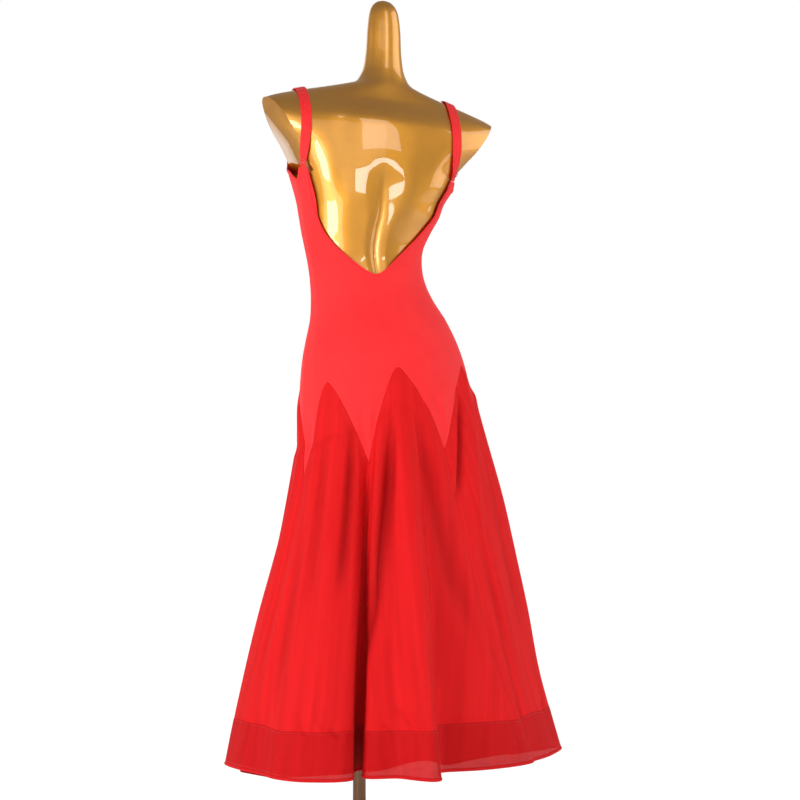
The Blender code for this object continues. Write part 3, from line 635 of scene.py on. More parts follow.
def cloth_shell(name, turn, height, outer, inner, finish, shift, crease_shade=None):
    """A thin closed shell on the cloth's form, at two distances out that shift moves further.

    The last argument, from 0 to 1, is how much painted shade the cloth gets in a crease; the finish
    reads it off the mesh."""
    point, _, _, out, _ = cloth_frame(turn, height)
    outside = point + out * (outer + shift)[..., None]
    inside = point + out * (inner + shift)[..., None]
    places = thread_places(outside).reshape(-1, 2)
    points = np.concatenate((outside.reshape(-1, 3), inside.reshape(-1, 3)))
    faces = wall_faces(*turn.shape)
    made = add_mesh(name, points, faces, finish, uv=np.concatenate((places, places)))
    # Keeps the painted shade of the creases on the mesh, where the finish reads it.
    if crease_shade is not None:
        kept = made.data.attributes.new("crease_shade", 'FLOAT', 'POINT')
        kept.data.foreach_set("value", np.tile(crease_shade.ravel(), 2).astype(np.float32))
    return made


# ---------------------------------------------------------------- the bodice

HALF_COLUMNS = 12        # the bodice's main columns from the side seam to the middle


def edge_curve(rows, place):
    """A smooth line through an edge's table, by row number."""
    in_order = [(index, *row) for index, row in enumerate(rows)]
    return curve_value(in_order, 1, place), curve_value(in_order, 2, place)


def armhole_edge(rows, place):
    """The line through an armhole's table; the strap's foot stays straight."""
    turn, height = edge_curve(rows, place)
    straight = [index for index in range(len(rows) - 1) if rows[index][1] == rows[index + 1][1]][0]
    on_foot = (place >= straight) & (place <= straight + 1)
    return turn, np.where(on_foot, rows[straight][1], height)


def back_top(column):
    """The back's top edge; column 0 is the left side seam, 24 the right one."""
    from_middle = np.abs(column - HALF_COLUMNS)
    neck_columns = len(BACK_NECK)
    low_turn, low_height = BACK_NECK[1]
    neck = ((-low_turn, low_height), *BACK_NECK, BACK_ARMHOLE[0])
    turn, height = edge_curve(neck, np.minimum(from_middle, neck_columns) + 1.0)
    arm_turn, arm_height = armhole_edge(BACK_ARMHOLE, np.maximum(0.0, from_middle - neck_columns))
    turn = np.where(from_middle > neck_columns, arm_turn, turn)
    height = np.where(from_middle > neck_columns, arm_height, height)
    return np.where(column < HALF_COLUMNS, -turn, turn), height


def front_top(column):
    """The front's top edge; column 0 is the right side seam, 24 the left one."""
    from_side = np.minimum(column, 2 * HALF_COLUMNS - column)
    arm_columns = len(FRONT_ARMHOLE) - 1
    turn, height = armhole_edge(FRONT_ARMHOLE, np.minimum(from_side, arm_columns))
    share = (from_side - arm_columns) / (HALF_COLUMNS - arm_columns)
    foot_turn, foot_height = FRONT_ARMHOLE[-1]
    rise = np.clip(1.0 - share, 0.0, 1.0) ** FRONT_SCOOP_ROUNDNESS
    on_scoop = share > 0.0
    turn = np.where(on_scoop, foot_turn + (180.0 - foot_turn) * share, turn)
    scoop = FRONT_NECK_HEIGHT + (foot_height - FRONT_NECK_HEIGHT) * rise
    height = np.where(on_scoop, scoop, height)
    return np.where(column > HALF_COLUMNS, 360.0 - turn, turn), height


def bodice_foot(first_gore, column):
    """The turn of the bodice's foot edge at each column."""
    marks = [GORES[first_gore][1]]
    for index in range(3):
        marks.append(past(GORES[first_gore + index][3], marks[-1]))
        marks.append(past(GORES[(first_gore + index + 1) % 6][1], marks[-1]))
    return np.interp(column, np.arange(len(marks)) * 4.0, marks)


BODICE_FINE = 8          # fine columns in each main one
BODICE_ROWS = 132
EDGE_ROWS = np.array((0.0, 0.0006, 0.0016, 0.0030, 0.0042, 0.0050, 0.0055, 0.0061, 0.0068, 0.0080))
SIDE_STEP = 0.02 / BODICE_FINE    # metres to a column, roughly, beside the side seams
TURNED_DROP_START = 0.0008    # where the turned edge's inner side starts to drop, and its width
TURNED_DROP_WIDTH = 0.0010
GROOVE_DEPTH = 0.0006    # the stitches' groove along the turned edge
GROOVE_SPREAD = 0.0006
EDGE_ROLL = 0.0005       # the outermost part of the edge rolls in
EDGE_ROLL_WIDTH = 0.0012
FOOT_PRESS = 0.0004      # the foot's edge is pressed flat
FOOT_PRESS_WIDTH = 0.0020


def add_bodice(name, top, first_gore, finish):
    column = np.arange(2 * HALF_COLUMNS * BODICE_FINE + 1) / BODICE_FINE
    top_turn, top_height = (value[:, None] for value in top(column))
    foot_turn = bodice_foot(first_gore, column)[:, None]
    if name == "bodice_back":
        foot_turn = np.where(foot_turn > 180.0, foot_turn - 360.0, foot_turn)
    foot_height = zigzag_height(foot_turn)
    length = top_height - foot_height
    share = run_on(EDGE_ROWS / length, 1.0, BODICE_ROWS)
    turn = top_turn + (foot_turn - top_turn) * smooth_step(share)
    height = top_height + (foot_height - top_height) * share
    stretch = cloth_frame(turn, height)[4]
    from_top = share * length
    from_side = np.minimum(column, 2 * HALF_COLUMNS - column)[:, None] * SIDE_STEP
    from_turned = from_top - TURNED_EDGE + TURNED_DROP_START
    outer = (WALL + faded(TURNED_RISE, from_turned, TURNED_DROP_WIDTH)
             - hump(GROOVE_DEPTH, from_top - EDGE_STITCH_INSET, GROOVE_SPREAD)
             - faded(EDGE_ROLL, from_top, EDGE_ROLL_WIDTH)
             - faded(FOOT_PRESS, (1.0 - share) * length, FOOT_PRESS_WIDTH))
    shift = (crease_depth(BODICE_CREASES, turn, height, stretch)
             - faded(SEAM_DIP, from_side, SEAM_DIP_WIDTH))
    inner = np.full_like(outer, WALL - JERSEY)
    return cloth_shell(name, turn, height, outer, inner, finish, shift)


# ----------------------------------------------------------------- the skirt

GORE_FINE = 128
GORE_ROWS = 117
GORE_PLACES = np.linspace(0.0, 1.0, GORE_FINE + 1)[:, None]
GORE_TOP_ROWS = np.array((SEAM_TUCK, SEAM_TUCK * 0.5, 0.0004, -0.0006, -0.0022))    # above the seam
GORE_UNDER_BAND = 0.002  # how far a gore runs on under the hem band
TUCK_GAP = 0.0004        # what runs on under the bodice keeps this far inside it
TUCK_START = 0.0010
TUCK_WIDTH = 0.0012


def gore_turn(index, places):
    """Turns across a gore, from its seam through its point to the next seam."""
    _, seam, _, point = GORES[index][:4]
    after = past(GORES[(index + 1) % 6][1], seam)
    return np.interp(places, (0.0, 0.5, 1.0), (seam, point, after))


def round_turns(count):
    """Turns all round the skirt, so many to a gore."""
    places = np.linspace(0.0, 1.0, count + 1)[:-1]
    return np.concatenate([gore_turn(index, places) for index in range(len(GORES))])


def skirt_shift(turn, height, stretch):
    """How far the skirt's cloth moves out: a little fullness between the seams, then its creases.

    Inward creases are held back where the cloth is close to the hips."""
    from_seam = np.full_like(stretch, 1.0)
    for _, seam, *_ in GORES:
        from_seam = np.minimum(from_seam, np.abs(turn_between(turn, seam)) * stretch)
    full = (FULLNESS * smooth_step(from_seam / FULL_FROM_SEAM)
            * smooth_step((zigzag_height(turn) - height) / FULL_FROM_TOP)
            * smooth_step((height - FULL_LOWEST) / FULL_RUN_OUT))
    off_body = np.linalg.norm(cloth_point(turn, height) - body_point(turn, height, EASE), axis=-1)
    creases = crease_depth(SKIRT_CREASES, turn, height, stretch)
    room = off_body + full + CREASE_ROOM
    held = np.where(creases < 0.0, -room * np.tanh(-creases / room), creases)
    return full + held + crease_depth(BAND_PUCKERS, turn, height, stretch)


def crease_shade_share(turn, height, stretch):
    """How much painted shade the skirt's cloth gets in the troughs of its creases and puckers: from
    0 to 1.
    """
    depth = crease_depth(SKIRT_CREASES + BAND_PUCKERS, turn, height, stretch)
    return np.clip(-depth / CREASE_SHADE_FULL, 0.0, 1.0)


def band_top(turn):
    """The height of the hem band's upper edge, which isn't quite level."""
    waves = sum(size * np.sin(np.radians(count * turn + start))
                for count, size, start in BAND_WAVES)
    return HEM_HEIGHT + BAND_HEIGHT + waves


def skirt_shell(name, turn, height, outer, inner, finish):
    """A gore's or a band's cloth, drawn in beside the seams at its two sides."""
    turn = np.broadcast_to(turn, height.shape)
    stretch = cloth_frame(turn, height)[4]
    width = stretch.mean() * (turn[-1, 0] - turn[0, 0])
    from_seam = np.minimum(GORE_PLACES, 1.0 - GORE_PLACES) * width
    shift = skirt_shift(turn, height, stretch) - faded(SEAM_DIP, from_seam, SEAM_DIP_WIDTH)
    # Painted shade for the troughs of the creases and puckers.
    crease_shade = crease_shade_share(turn, height, stretch)
    return cloth_shell(name, turn, height, outer, inner, finish, shift, crease_shade)


def add_gore(index, finish):
    turn = gore_turn(index, GORE_PLACES)
    seam = zigzag_height(turn)
    seam[0], seam[-1] = GORES[index][2], GORES[(index + 1) % 6][2]
    height = run_on(seam + GORE_TOP_ROWS, band_top(turn) - GORE_UNDER_BAND, GORE_ROWS)
    tuck = smooth_step((height - seam + TUCK_START) / TUCK_WIDTH)
    outer = WALL - (WALL - CHIFFON + TUCK_GAP) * tuck
    name = "gore_" + GORES[index][0]
    return skirt_shell(name, turn, height, outer, outer - CHIFFON, finish)


BAND_TOP_ROWS = (0.0, 0.0008, 0.0020, 0.0034, 0.0048, 0.0064)
BAND_ROWS = 22
BAND_UNDER_BINDING = 0.001
BAND_LIP = 0.0004        # the band's upper edge rolls in
BAND_LIP_WIDTH = 0.0010
BAND_STITCH_INSET = 0.0034
BAND_GROOVE = 0.0003
BAND_GROOVE_SPREAD = 0.0006


def add_hem_band(index, finish):
    turn = gore_turn(index, GORE_PLACES)
    top = band_top(turn)
    foot = HEM_HEIGHT + BINDING_HEIGHT - BAND_UNDER_BINDING
    near = np.broadcast_to(BAND_TOP_ROWS, (len(turn), len(BAND_TOP_ROWS)))
    from_top = run_on(near, top - foot, BAND_ROWS)
    outer = (BAND_WALL - faded(BAND_LIP, from_top, BAND_LIP_WIDTH)
             - hump(BAND_GROOVE, from_top - BAND_STITCH_INSET, BAND_GROOVE_SPREAD))
    inner = np.full_like(outer, BAND_WALL - BAND_CLOTH)
    return skirt_shell("hem_band_" + GORES[index][0], turn, top - from_top, outer, inner, finish)


# Across the rolled edge's section: share of its height down, and share of its wall out
BINDING_SECTION = ((0.0, 0.00), (0.10, 0.42), (0.32, 0.80), (0.60, 1.00), (0.86, 0.92), (1.0, 0.62),
                   (1.0, 0.30), (0.80, 0.04))


def add_binding(finish):
    """A rolled edge: a rounded section swept all round the hem."""
    down, wall = np.array(BINDING_SECTION).T
    turn, down = np.meshgrid(round_turns(GORE_FINE), down, indexing="ij")
    height = HEM_HEIGHT + BINDING_HEIGHT * (1.0 - down)
    point, _, _, out, stretch = cloth_frame(turn, height)
    ring = point + out * (skirt_shift(turn, height, stretch) + BINDING_WALL * wall)[..., None]
    faces = tube_faces(numbered(*turn.shape).T, looped=True)
    places = thread_places(ring).reshape(-1, 2)
    return add_mesh("hem_binding_roll", ring.reshape(-1, 3), faces, finish, uv=places, sharp=60.0)


# --------------------------------------------------------- the form and stand

FORM_SIDES = 240
FORM_ROW = 0.0045
CROWN_LEVELS = (1.5250, 1.5240, 1.5220, 1.5190)
BORE_SIDES, POLE_SIDES, BASE_SIDES = 64, 72, 144
BOX_FACES = ((0, 1, 3, 2), (4, 6, 7, 5), (0, 4, 5, 1), (2, 3, 7, 6), (0, 2, 6, 4), (1, 5, 7, 3))


def form_heights():
    """Levels for the form's mesh: a few close ones at its crown, even ones below."""
    count = int((CROWN_LEVELS[-1] - BODY[-1][0]) / FORM_ROW)
    return np.concatenate((CROWN_LEVELS[:-1], np.linspace(CROWN_LEVELS[-1], BODY[-1][0], count)))


def arm_cutter(side):
    """A block whose inner face is the flat end of one arm."""
    size = ARM_CUT_SIZE
    foot = (ARM_FOOT - ARM_HEIGHT) / cos(radians(ARM_SLANT))
    corners = [(x, y, z) for x in (0.0, size) for y in (-size, size) for z in (foot, ARM_CUT_TOP)]
    place = (Matrix.Translation((SHOULDER_MIDDLE, 0.0, ARM_HEIGHT))
             @ Matrix.Rotation(radians(-SHOULDER_ROLL), 4, 'Y')
             @ Matrix.Translation((side * ARM_REACH, 0.0, 0.0))
             @ Matrix.Rotation(pi if side < 0.0 else 0.0, 4, 'Z')
             @ Matrix.Rotation(radians(SHOULDER_TWIST), 4, 'Z')
             @ Matrix.Rotation(radians(ARM_SLANT), 4, 'Y'))
    return [place @ Vector(corner) for corner in corners], BOX_FACES


def cut_away(body, points, faces):
    """Takes a solid away from a body for good."""
    mesh = bpy.data.meshes.new("cutter")
    mesh.from_pydata([tuple(point) for point in points], [], faces)
    cutter = placed("cutter", mesh)
    cut = body.modifiers.new("cut", 'BOOLEAN')
    cut.operation = 'DIFFERENCE'
    cut.solver = 'EXACT'
    cut.object = cutter
    graph = bpy.context.evaluated_depsgraph_get()
    body.data = bpy.data.meshes.new_from_object(body.evaluated_get(graph))
    body.modifiers.clear()
    bpy.data.objects.remove(cutter)


def add_form(finish):
    turns = np.arange(FORM_SIDES) * 360.0 / FORM_SIDES
    turn, height = np.meshgrid(turns, form_heights(), indexing="ij")
    one_degree = body_point(turn + 0.5, height) - body_point(turn - 0.5, height)
    stretch = np.linalg.norm(one_degree, axis=-1)
    relief = crease_depth(FORM_CREASES, turn, height, stretch)
    points = body_point(turn, height, relief, True).reshape(-1, 3)
    form = add_mesh("form_skin", points, tube_faces(numbered(*turn.shape).T), finish)
    for side in (1.0, -1.0):
        cut_away(form, *arm_cutter(side))
    foot, radius = BODY[-1][0], POLE_RADIUS + POLE_GAP
    bore = ((radius, foot + POLE_BORE_DEPTH), (radius, foot - POLE_RADIUS))
    cut_away(form, *turned_solid(bore, BORE_SIDES))
    form.data.shade_smooth()
    form.data.set_sharp_from_angle(angle=radians(FORM_SHARP_ANGLE))
    shown_for(form, "form_torso")


def turned_solid(profile, sides):
    """A solid turned about the Z axis, from its top's middle outward and down."""
    radius, height = np.array(profile).T[:, :, None]
    angle = 2.0 * pi * np.arange(sides) / sides
    parts = np.broadcast_arrays(radius * np.cos(angle), radius * np.sin(angle), height)
    points = np.stack(parts, -1)
    return points.reshape(-1, 3), tube_faces(numbered(len(profile), sides))


BASE_PROFILE = (
    (POLE_RADIUS + POLE_GAP, BASE_FLOOR),
    (POLE_RADIUS + POLE_GAP, BASE_HUB_TOP - 0.0006),
    (POLE_RADIUS + POLE_GAP + 0.0006, BASE_HUB_TOP),
    (0.0188, BASE_HUB_TOP),
    (0.0200, BASE_HUB_TOP - 0.0004),
    (0.0208, BASE_HUB_TOP - 0.0012),
    (0.0211, BASE_HUB_TOP - 0.0026),
    (0.0216, 0.0180),
    (0.0224, 0.0140),
    (0.0240, 0.0118),
    (0.0270, 0.0108),
    (0.0310, 0.0104),
    (0.0700, 0.0096),
    (0.1240, 0.0086),
    (0.1330, 0.0076),
    (0.1378, 0.0056),
    (0.1396, 0.0038),
    (BASE_RADIUS, 0.0024),
    (0.1396, 0.0008),
    (0.1385, 0.0),
)


def add_stand(finish):
    top = BODY[-1][0] + POLE_BORE_DEPTH - POLE_GAP
    foot = BASE_FLOOR + SEAM_GAP
    pole = ((POLE_RADIUS - 0.0010, top), (POLE_RADIUS - 0.0003, top - 0.0003),
            (POLE_RADIUS, top - 0.0010), (POLE_RADIUS, foot + 0.12), (POLE_RADIUS, foot))
    pole = add_mesh("stand_pole_tube", *turned_solid(pole, POLE_SIDES), finish)
    base = add_mesh("stand_base_disc", *turned_solid(BASE_PROFILE, BASE_SIDES), finish, sharp=30.0)
    shown_for(pole, "stand_pole")
    shown_for(base, "stand_base")


# -------------------------------------------------------------------- straps

def strap_feet(side):
    """Turn and height of the strap's two feet, at the back and at the front."""
    back = (-side * (BACK_ARMHOLE[0][0] + BACK_ARMHOLE[1][0]) / 2, BACK_ARMHOLE[0][1])
    front = (-side * (FRONT_ARMHOLE[-1][0] + FRONT_ARMHOLE[-2][0]) / 2, FRONT_ARMHOLE[-1][1])
    return back, front


def skin_tree(body):
    mesh = body.data
    return BVHTree.FromPolygons([corner.co for corner in mesh.vertices],
                                [tuple(face.vertices) for face in mesh.polygons])


def values_at(wanted, lengths, values):
    return np.stack([np.interp(wanted, lengths, values[:, axis]) for axis in range(3)], -1)


def strap_path(tree, side):
    """Points of a taut band's inner face from the back, over the shoulder, to the front."""
    middle = STRAP_MIDDLE + side * STRAP_REACH
    lift = side * STRAP_REACH * tan(radians(SHOULDER_ROLL)) * STRAP_LIFT_SHARE
    centre = Vector((0.0, 0.0, STRAP_CENTRE_HEIGHT + lift))
    start, end = (Vector(cloth_point(*foot)) for foot in strap_feet(side))
    start.z += STRAP_FOOT_GAP
    end.z += STRAP_FOOT_GAP
    first = atan2(start.z - centre.z, start.y)
    last = atan2(end.z - centre.z, end.y) % (2.0 * pi)
    touch = [start]
    for step in range(1, STRAP_PROBES):
        share = step / STRAP_PROBES
        angle = first + (last - first) * share
        edge = start.x if share < 0.5 else end.x
        swing = float(smooth_step(min(share, 1.0 - share) / STRAP_SWING_SHARE))
        centre.x = edge + (middle - edge) * swing
        way = Vector((0.0, cos(angle), sin(angle)))
        hit, normal, _, _ = tree.ray_cast(centre + way * PROBE_REACH, -way)
        if hit is not None:
            touch.append(hit + normal * STRAP_EASE)
    touch.append(end)
    return spaced(taut_line(touch), STRAP_STEPS)


def taut_line(points):
    """The taut line, seen from the side, over points that run from the back to the front."""
    line = []
    for point in points:
        while len(line) >= 2:
            a, b = line[-2], line[-1]
            if (b.y - a.y) * (point.z - a.z) - (b.z - a.z) * (point.y - a.y) > 0.0:
                break
            line.pop()
        line.append(point)
    return line


def spaced(line, steps):
    """Evenly spaced points along a line of straight runs."""
    points = np.array([tuple(point) for point in line])
    lengths = lengths_along(points)
    targets = np.linspace(0.0, lengths[-1], steps + 1)
    return [Vector(place) for place in values_at(targets, lengths, points)]


def strap_frames(form, side):
    """Along the strap: its place on the inner face, the way across and the way out, as arrays."""
    tree = skin_tree(form)
    path = strap_path(tree, side)
    back, front = ([Vector(part) for part in cloth_frame(*foot)[:4]] for foot in strap_feet(side))
    last = len(path) - 1
    frames = []
    for index, place in enumerate(path):
        along = (path[min(last, index + 1)] - path[max(0, index - 1)]).normalized()
        _, normal, _, _ = tree.find_nearest(place)
        sewn_out = back[3] if index < last / 2 else front[3]
        free = float(smooth_step(min(index, last - index) / last / STRAP_SEWN_SHARE))
        out = sewn_out.lerp(normal, free)
        out = (out - along * out.dot(along)).normalized()
        frames.append((place, along.cross(out).normalized(), out))
    frames[0] = (path[0], back[1], back[3])
    frames[last] = (path[last], -front[1], front[3])
    table = np.array([[index, *place, *across, *out]
                      for index, (place, across, out) in enumerate(frames)])
    places = np.linspace(0.0, last, last * STRAP_FINE + 1)
    fine = np.stack([curve_value(table, column, places) for column in range(1, 10)], -1)
    return fine[:, 0:3], unit(fine[:, 3:6]), unit(fine[:, 6:9])


# Across the strap's half section: share of the half width, and height above the inner face
STRAP_SECTION = (
    (0.00, 1.05), (0.20, 1.04), (0.30, 0.90), (0.36, 0.90), (0.46, 1.06), (0.66, 1.08),
    (0.74, 0.92), (0.80, 0.92), (0.88, 1.02), (0.96, 0.90), (1.00, 0.55), (0.97, 0.16), (0.88, 0.0),
)


def strap_half(count):
    """Half the strap's width at each of its places; it narrows towards its two feet."""
    from_end = np.minimum(np.arange(count), count - 1 - np.arange(count)) / (count - 1)
    return STRAP_WIDTH / 2 * (1.0 - faded(STRAP_NARROWING, from_end, STRAP_NARROW_SHARE))


def add_strap(frames, name, finish):
    """A band doubled over and stitched: a soft double ridge with two sewn grooves on each half."""
    place, across, out = (part[:, None, :] for part in frames)
    left = [(-share, level) for share, level in reversed(STRAP_SECTION[1:])]
    share, level = np.array([*STRAP_SECTION, *left]).T[:, None, :, None]
    ring = (place + across * share * strap_half(len(place))[:, None, None]
            + out * level * STRAP_WALL * STRAP_RIDGE)
    points, faces = ring.reshape(-1, 3), tube_faces(numbered(*ring.shape[:2]))
    return turned_outward(add_mesh("strap_band_" + name, points, faces, finish, sharp=70.0))


def add_slider(frames, name, finish):
    """A flat oblong frame on the strap's outer face, bent from a rod with rounded corners."""
    place, across, out = (part[SLIDER_STEP * STRAP_FINE] for part in frames)
    along = np.cross(out, across)
    width, depth, length = SLIDER_SIZE
    rod = SLIDER_RIM / 2
    middle = place + out * (STRAP_WALL + SEAM_GAP + depth / 2)
    corners = []
    for quarter, (to_side, to_end) in enumerate(((1, 1), (-1, 1), (-1, -1), (1, -1))):
        for step in range(CORNER_STEPS):
            angle = pi / 2 * (quarter + step / (CORNER_STEPS - 1))
            x = to_side * (width / 2 - rod - SLIDER_CORNER) + SLIDER_CORNER * cos(angle)
            y = to_end * (length / 2 - rod - SLIDER_CORNER) + SLIDER_CORNER * sin(angle)
            corners.append(middle + across * x + along * y)
    corners = np.array(corners)
    side = unit(np.cross(unit(np.roll(corners, -1, axis=0) - np.roll(corners, 1, axis=0)), out))
    angle = (2.0 * pi * np.arange(ROD_SIDES) / ROD_SIDES)[None, :, None]
    ring = corners[:, None] + side[:, None] * rod * np.cos(angle) + out * depth / 2 * np.sin(angle)
    faces = tube_faces(numbered(*ring.shape[:2]), looped=True)
    return turned_outward(add_mesh("slider_frame_" + name, ring.reshape(-1, 3), faces, finish))


# ------------------------------------------------------------------- sewing

# Each ring of a stitch: share along it, size and lift, as shares of the thread's radius
STITCH_RINGS = ((0.0, 0.25, -0.4), (0.16, 0.9, 0.35), (0.5, 1.0, 0.7), (0.84, 0.9, 0.35),
                (1.0, 0.25, -0.4))
STITCH_SIDES = 5
EDGE_STITCH = (0.0024, 0.0009, 0.00026)    # a stitch's length, the gap to the next, thread radius
STRAP_STITCH = (0.0024, 0.0009, 0.00022)
HEM_STITCH = (0.0026, 0.0012, 0.00024)
EDGE_STITCH_STEPS = 14   # points along a line of sewing, in each of the bodice's columns
HEM_STITCH_STEPS = 96    # and in each gore
EDGE_RUN_START = 0.1     # columns from the side seam to the first stitch
BINDING_STITCH_RISE = 0.0016
STRAP_ROWS = (-0.77, -0.33, 0.33, 0.77)    # places across the strap, as shares of its half width
# The bodice's halves: name, top edge, the column where its middle run of sewing starts, and
# the one where its run below the armhole ends
EDGE_RUNS = (("back", back_top, 4.05, 2.9), ("front", front_top, 6.05, 4.9))


def add_stitches(name, lines, stitch, finish):
    """Rows of short thread stitches. Each line is its points and its ways out."""
    length, gap, radius = stitch
    share, size, lift = np.array(STITCH_RINGS).T[:, :, None, None]
    angle = (2.0 * pi * np.arange(STITCH_SIDES) / STITCH_SIDES)[None, :, None]
    made = []
    for line, outs in lines:
        lengths = lengths_along(line)
        for start in np.arange(gap / 2, lengths[-1] - length, length + gap):
            wanted = start + length * share.ravel()
            middle, out = values_at(wanted, lengths, line), values_at(wanted, lengths, outs)
            side = unit(np.cross(unit(middle[-1] - middle[0]), out))
            made.append(middle[:, None] + out[:, None] * radius * (lift + size * np.sin(angle))
                        + side[:, None] * radius * size * np.cos(angle))
    points = np.array(made)
    faces = [face for stitch_at in numbered(*points.shape[:3]) for face in tube_faces(stitch_at)]
    turned_outward(add_mesh(name, points.reshape(-1, 3), faces, finish, sharp=80.0))


def edge_line(top, first, last):
    """A line of sewing below the bodice's top edge, from one column to a later one."""
    column = np.linspace(first, last, int((last - first) * EDGE_STITCH_STEPS) + 2)
    point, _, down, out, _ = cloth_frame(*top(column))
    inward = unit(np.cross(unit(np.gradient(point + out * WALL, axis=0)), out))
    inward = np.where((inward * down).sum(-1, keepdims=True) < 0.0, -inward, inward)
    return point + inward * EDGE_STITCH_INSET + out * (WALL + TURNED_RISE - STITCH_SINK), out


def strap_line(frames, share):
    place, across, out = frames
    half = strap_half(len(place))[:, None]
    return place + across * half * share + out * STRAP_WALL * STRAP_GROOVE_LEVEL, out


def hem_line(height_at, lift):
    """A line of sewing all round the hem band, at the heights that a function gives."""
    turns = round_turns(HEM_STITCH_STEPS)
    height = height_at(turns)
    point, _, _, out, stretch = cloth_frame(turns, height)
    return point + out * (skirt_shift(turns, height, stretch) + BAND_WALL + lift)[:, None], out


# ----------------------------------------------------------------- finishes

def node(tree, kind, settings=None, **inputs):
    """One shader node. Inputs are values or sockets, by the socket's name with _ for a space,
    or by its number after an i."""
    made = tree.nodes.new(kind)
    for key, value in (settings or {}).items():
        setattr(made, key, value)
    for key, value in inputs.items():
        by_number = key[0] == "i" and key[1:].isdigit()
        socket = made.inputs[int(key[1:]) if by_number else key.replace("_", " ")]
        if isinstance(value, bpy.types.NodeSocket):
            tree.links.new(value, socket)
        else:
            socket.default_value = value
    return made


def maths(tree, operation, first, second=0.0, third=0.0):
    settings = {"operation": operation}
    return node(tree, "ShaderNodeMath", settings, i0=first, i1=second, i2=third).outputs[0]


def noise(tree, place, scale, detail):
    return node(tree, "ShaderNodeTexNoise", Vector=place, Scale=scale, Detail=detail).outputs["Fac"]


def new_group(name, inputs, outputs):
    """A node group that takes a Place and named numbers, and puts out named numbers."""
    tree = bpy.data.node_groups.new(name, "ShaderNodeTree")
    sockets, number = tree.interface, "NodeSocketFloat"
    sockets.new_socket(name="Place", in_out='INPUT', socket_type="NodeSocketVector")
    for label, value in inputs.items():
        sockets.new_socket(name=label, in_out='INPUT', socket_type=number).default_value = value
    for label in outputs:
        sockets.new_socket(name=label, in_out='OUTPUT', socket_type=number)
    return tree, tree.nodes.new("NodeGroupInput").outputs, tree.nodes.new("NodeGroupOutput").inputs


def thread_weave_group():
    """Crossing threads: a small raised thread pattern, from metres round and down the cloth."""
    numbers = {"Pitch": 0.0006, "Slub": 0.3}
    tree, given, result = new_group("thread_weave", numbers, ("Height", "Thread"))
    wobble = maths(tree, "MULTIPLY", noise(tree, given["Place"], 900.0, 2.0), given["Slub"])
    split = node(tree, "ShaderNodeSeparateXYZ", Vector=given["Place"])
    waves = []
    for axis in ("X", "Y"):
        even = maths(tree, "DIVIDE", split.outputs[axis], given["Pitch"])
        turns = maths(tree, "MULTIPLY", maths(tree, "ADD", even, wobble), 2.0 * pi)
        waves.append(maths(tree, "SINE", turns))
    over = maths(tree, "MULTIPLY", *waves)
    for label, wave in (("Height", over), ("Thread", waves[0])):
        tree.links.new(maths(tree, "MULTIPLY_ADD", wave, 0.5, 0.5), result[label])
    return tree


def knit_stitch_group():
    """Fine knitted columns: small V shapes one above the other."""
    tree, given, result = new_group("knit_stitches", {"Pitch": 0.0008}, ("Height", "Column"))
    split = node(tree, "ShaderNodeSeparateXYZ", Vector=given["Place"])
    column = maths(tree, "FRACT", maths(tree, "DIVIDE", split.outputs["X"], given["Pitch"]))
    inside = maths(tree, "ABSOLUTE", maths(tree, "SUBTRACT", column, 0.5))
    row = maths(tree, "DIVIDE", split.outputs["Y"], given["Pitch"])
    slanted = maths(tree, "MULTIPLY", maths(tree, "ADD", row, inside), 2.0 * pi)
    loops = maths(tree, "MULTIPLY_ADD", maths(tree, "SINE", slanted), 0.5, 0.5)
    wale = maths(tree, "SINE", maths(tree, "MULTIPLY", column, pi))
    tree.links.new(maths(tree, "MULTIPLY", loops, wale), result["Height"])
    tree.links.new(wale, result["Column"])
    return tree


def soft_tone_group():
    """Slow, soft unevenness of colour, from two sizes of cloudy noise."""
    tree, given, result = new_group("soft_tone", {"Size": 12.0}, ("Tone",))
    broad = noise(tree, given["Place"], given["Size"], 3.0)
    fine = noise(tree, given["Place"], maths(tree, "MULTIPLY", given["Size"], 9.0), 4.0)
    tone = maths(tree, "MULTIPLY_ADD", fine, 0.35, maths(tree, "MULTIPLY", broad, 0.65))
    tree.links.new(tone, result["Tone"])
    return tree


def sprayed_skin_group():
    """Sprayed paint: faint orange peel, a slow wave under it and fine metal specks."""
    tree, given, result = new_group("sprayed_skin", {"Peel": 260.0}, ("Height", "Speck"))
    peel = noise(tree, given["Place"], given["Peel"], 2.0)
    wave = noise(tree, given["Place"], 14.0, 1.0)
    tree.links.new(maths(tree, "MULTIPLY_ADD", peel, 0.06, wave), result["Height"])
    specks = node(tree, "ShaderNodeTexVoronoi", Vector=given["Place"], Scale=2600.0)
    tree.links.new(specks.outputs["Distance"], result["Speck"])
    return tree


def place_group(tree, group, **inputs):
    return node(tree, "ShaderNodeGroup", {"node_tree": group}, **inputs).outputs


def new_finish(name, **values):
    """A material with one Principled surface, whose constant values are set on its own sockets."""
    made = bpy.data.materials.new(name)
    made.use_nodes = True
    tree = made.node_tree
    surface = tree.nodes["Principled BSDF"]
    for key, value in values.items():
        surface.inputs[key.replace("_", " ")].default_value = value
    return made, tree, surface


def mixed_colour(tree, share, first, second):
    """A mix of two colours, each of them a socket or its red, green and blue."""
    first, second = (colour if isinstance(colour, bpy.types.NodeSocket) else (*colour, 1.0)
                     for colour in (first, second))
    settings = {"data_type": "RGBA"}
    return node(tree, "ShaderNodeMix", settings, i0=share, i6=first, i7=second).outputs[2]


TONE_RANGE = (0.3, 0.7)  # what the soft tone group mostly puts out
CREASE_SHADE_RED = 0.46      # share of its red that cloth keeps in the painted shade of a crease
CREASE_SHADE_MOST = 0.85
COVER_LOSS = 0.06        # how much thinner the cloth is in places


def remapped(tree, value, low, high, to_low=0.0, to_high=1.0):
    limits = {"From Min": low, "From Max": high, "To Min": to_low, "To Max": to_high}
    return node(tree, "ShaderNodeMapRange", Value=value, **limits).outputs[0]


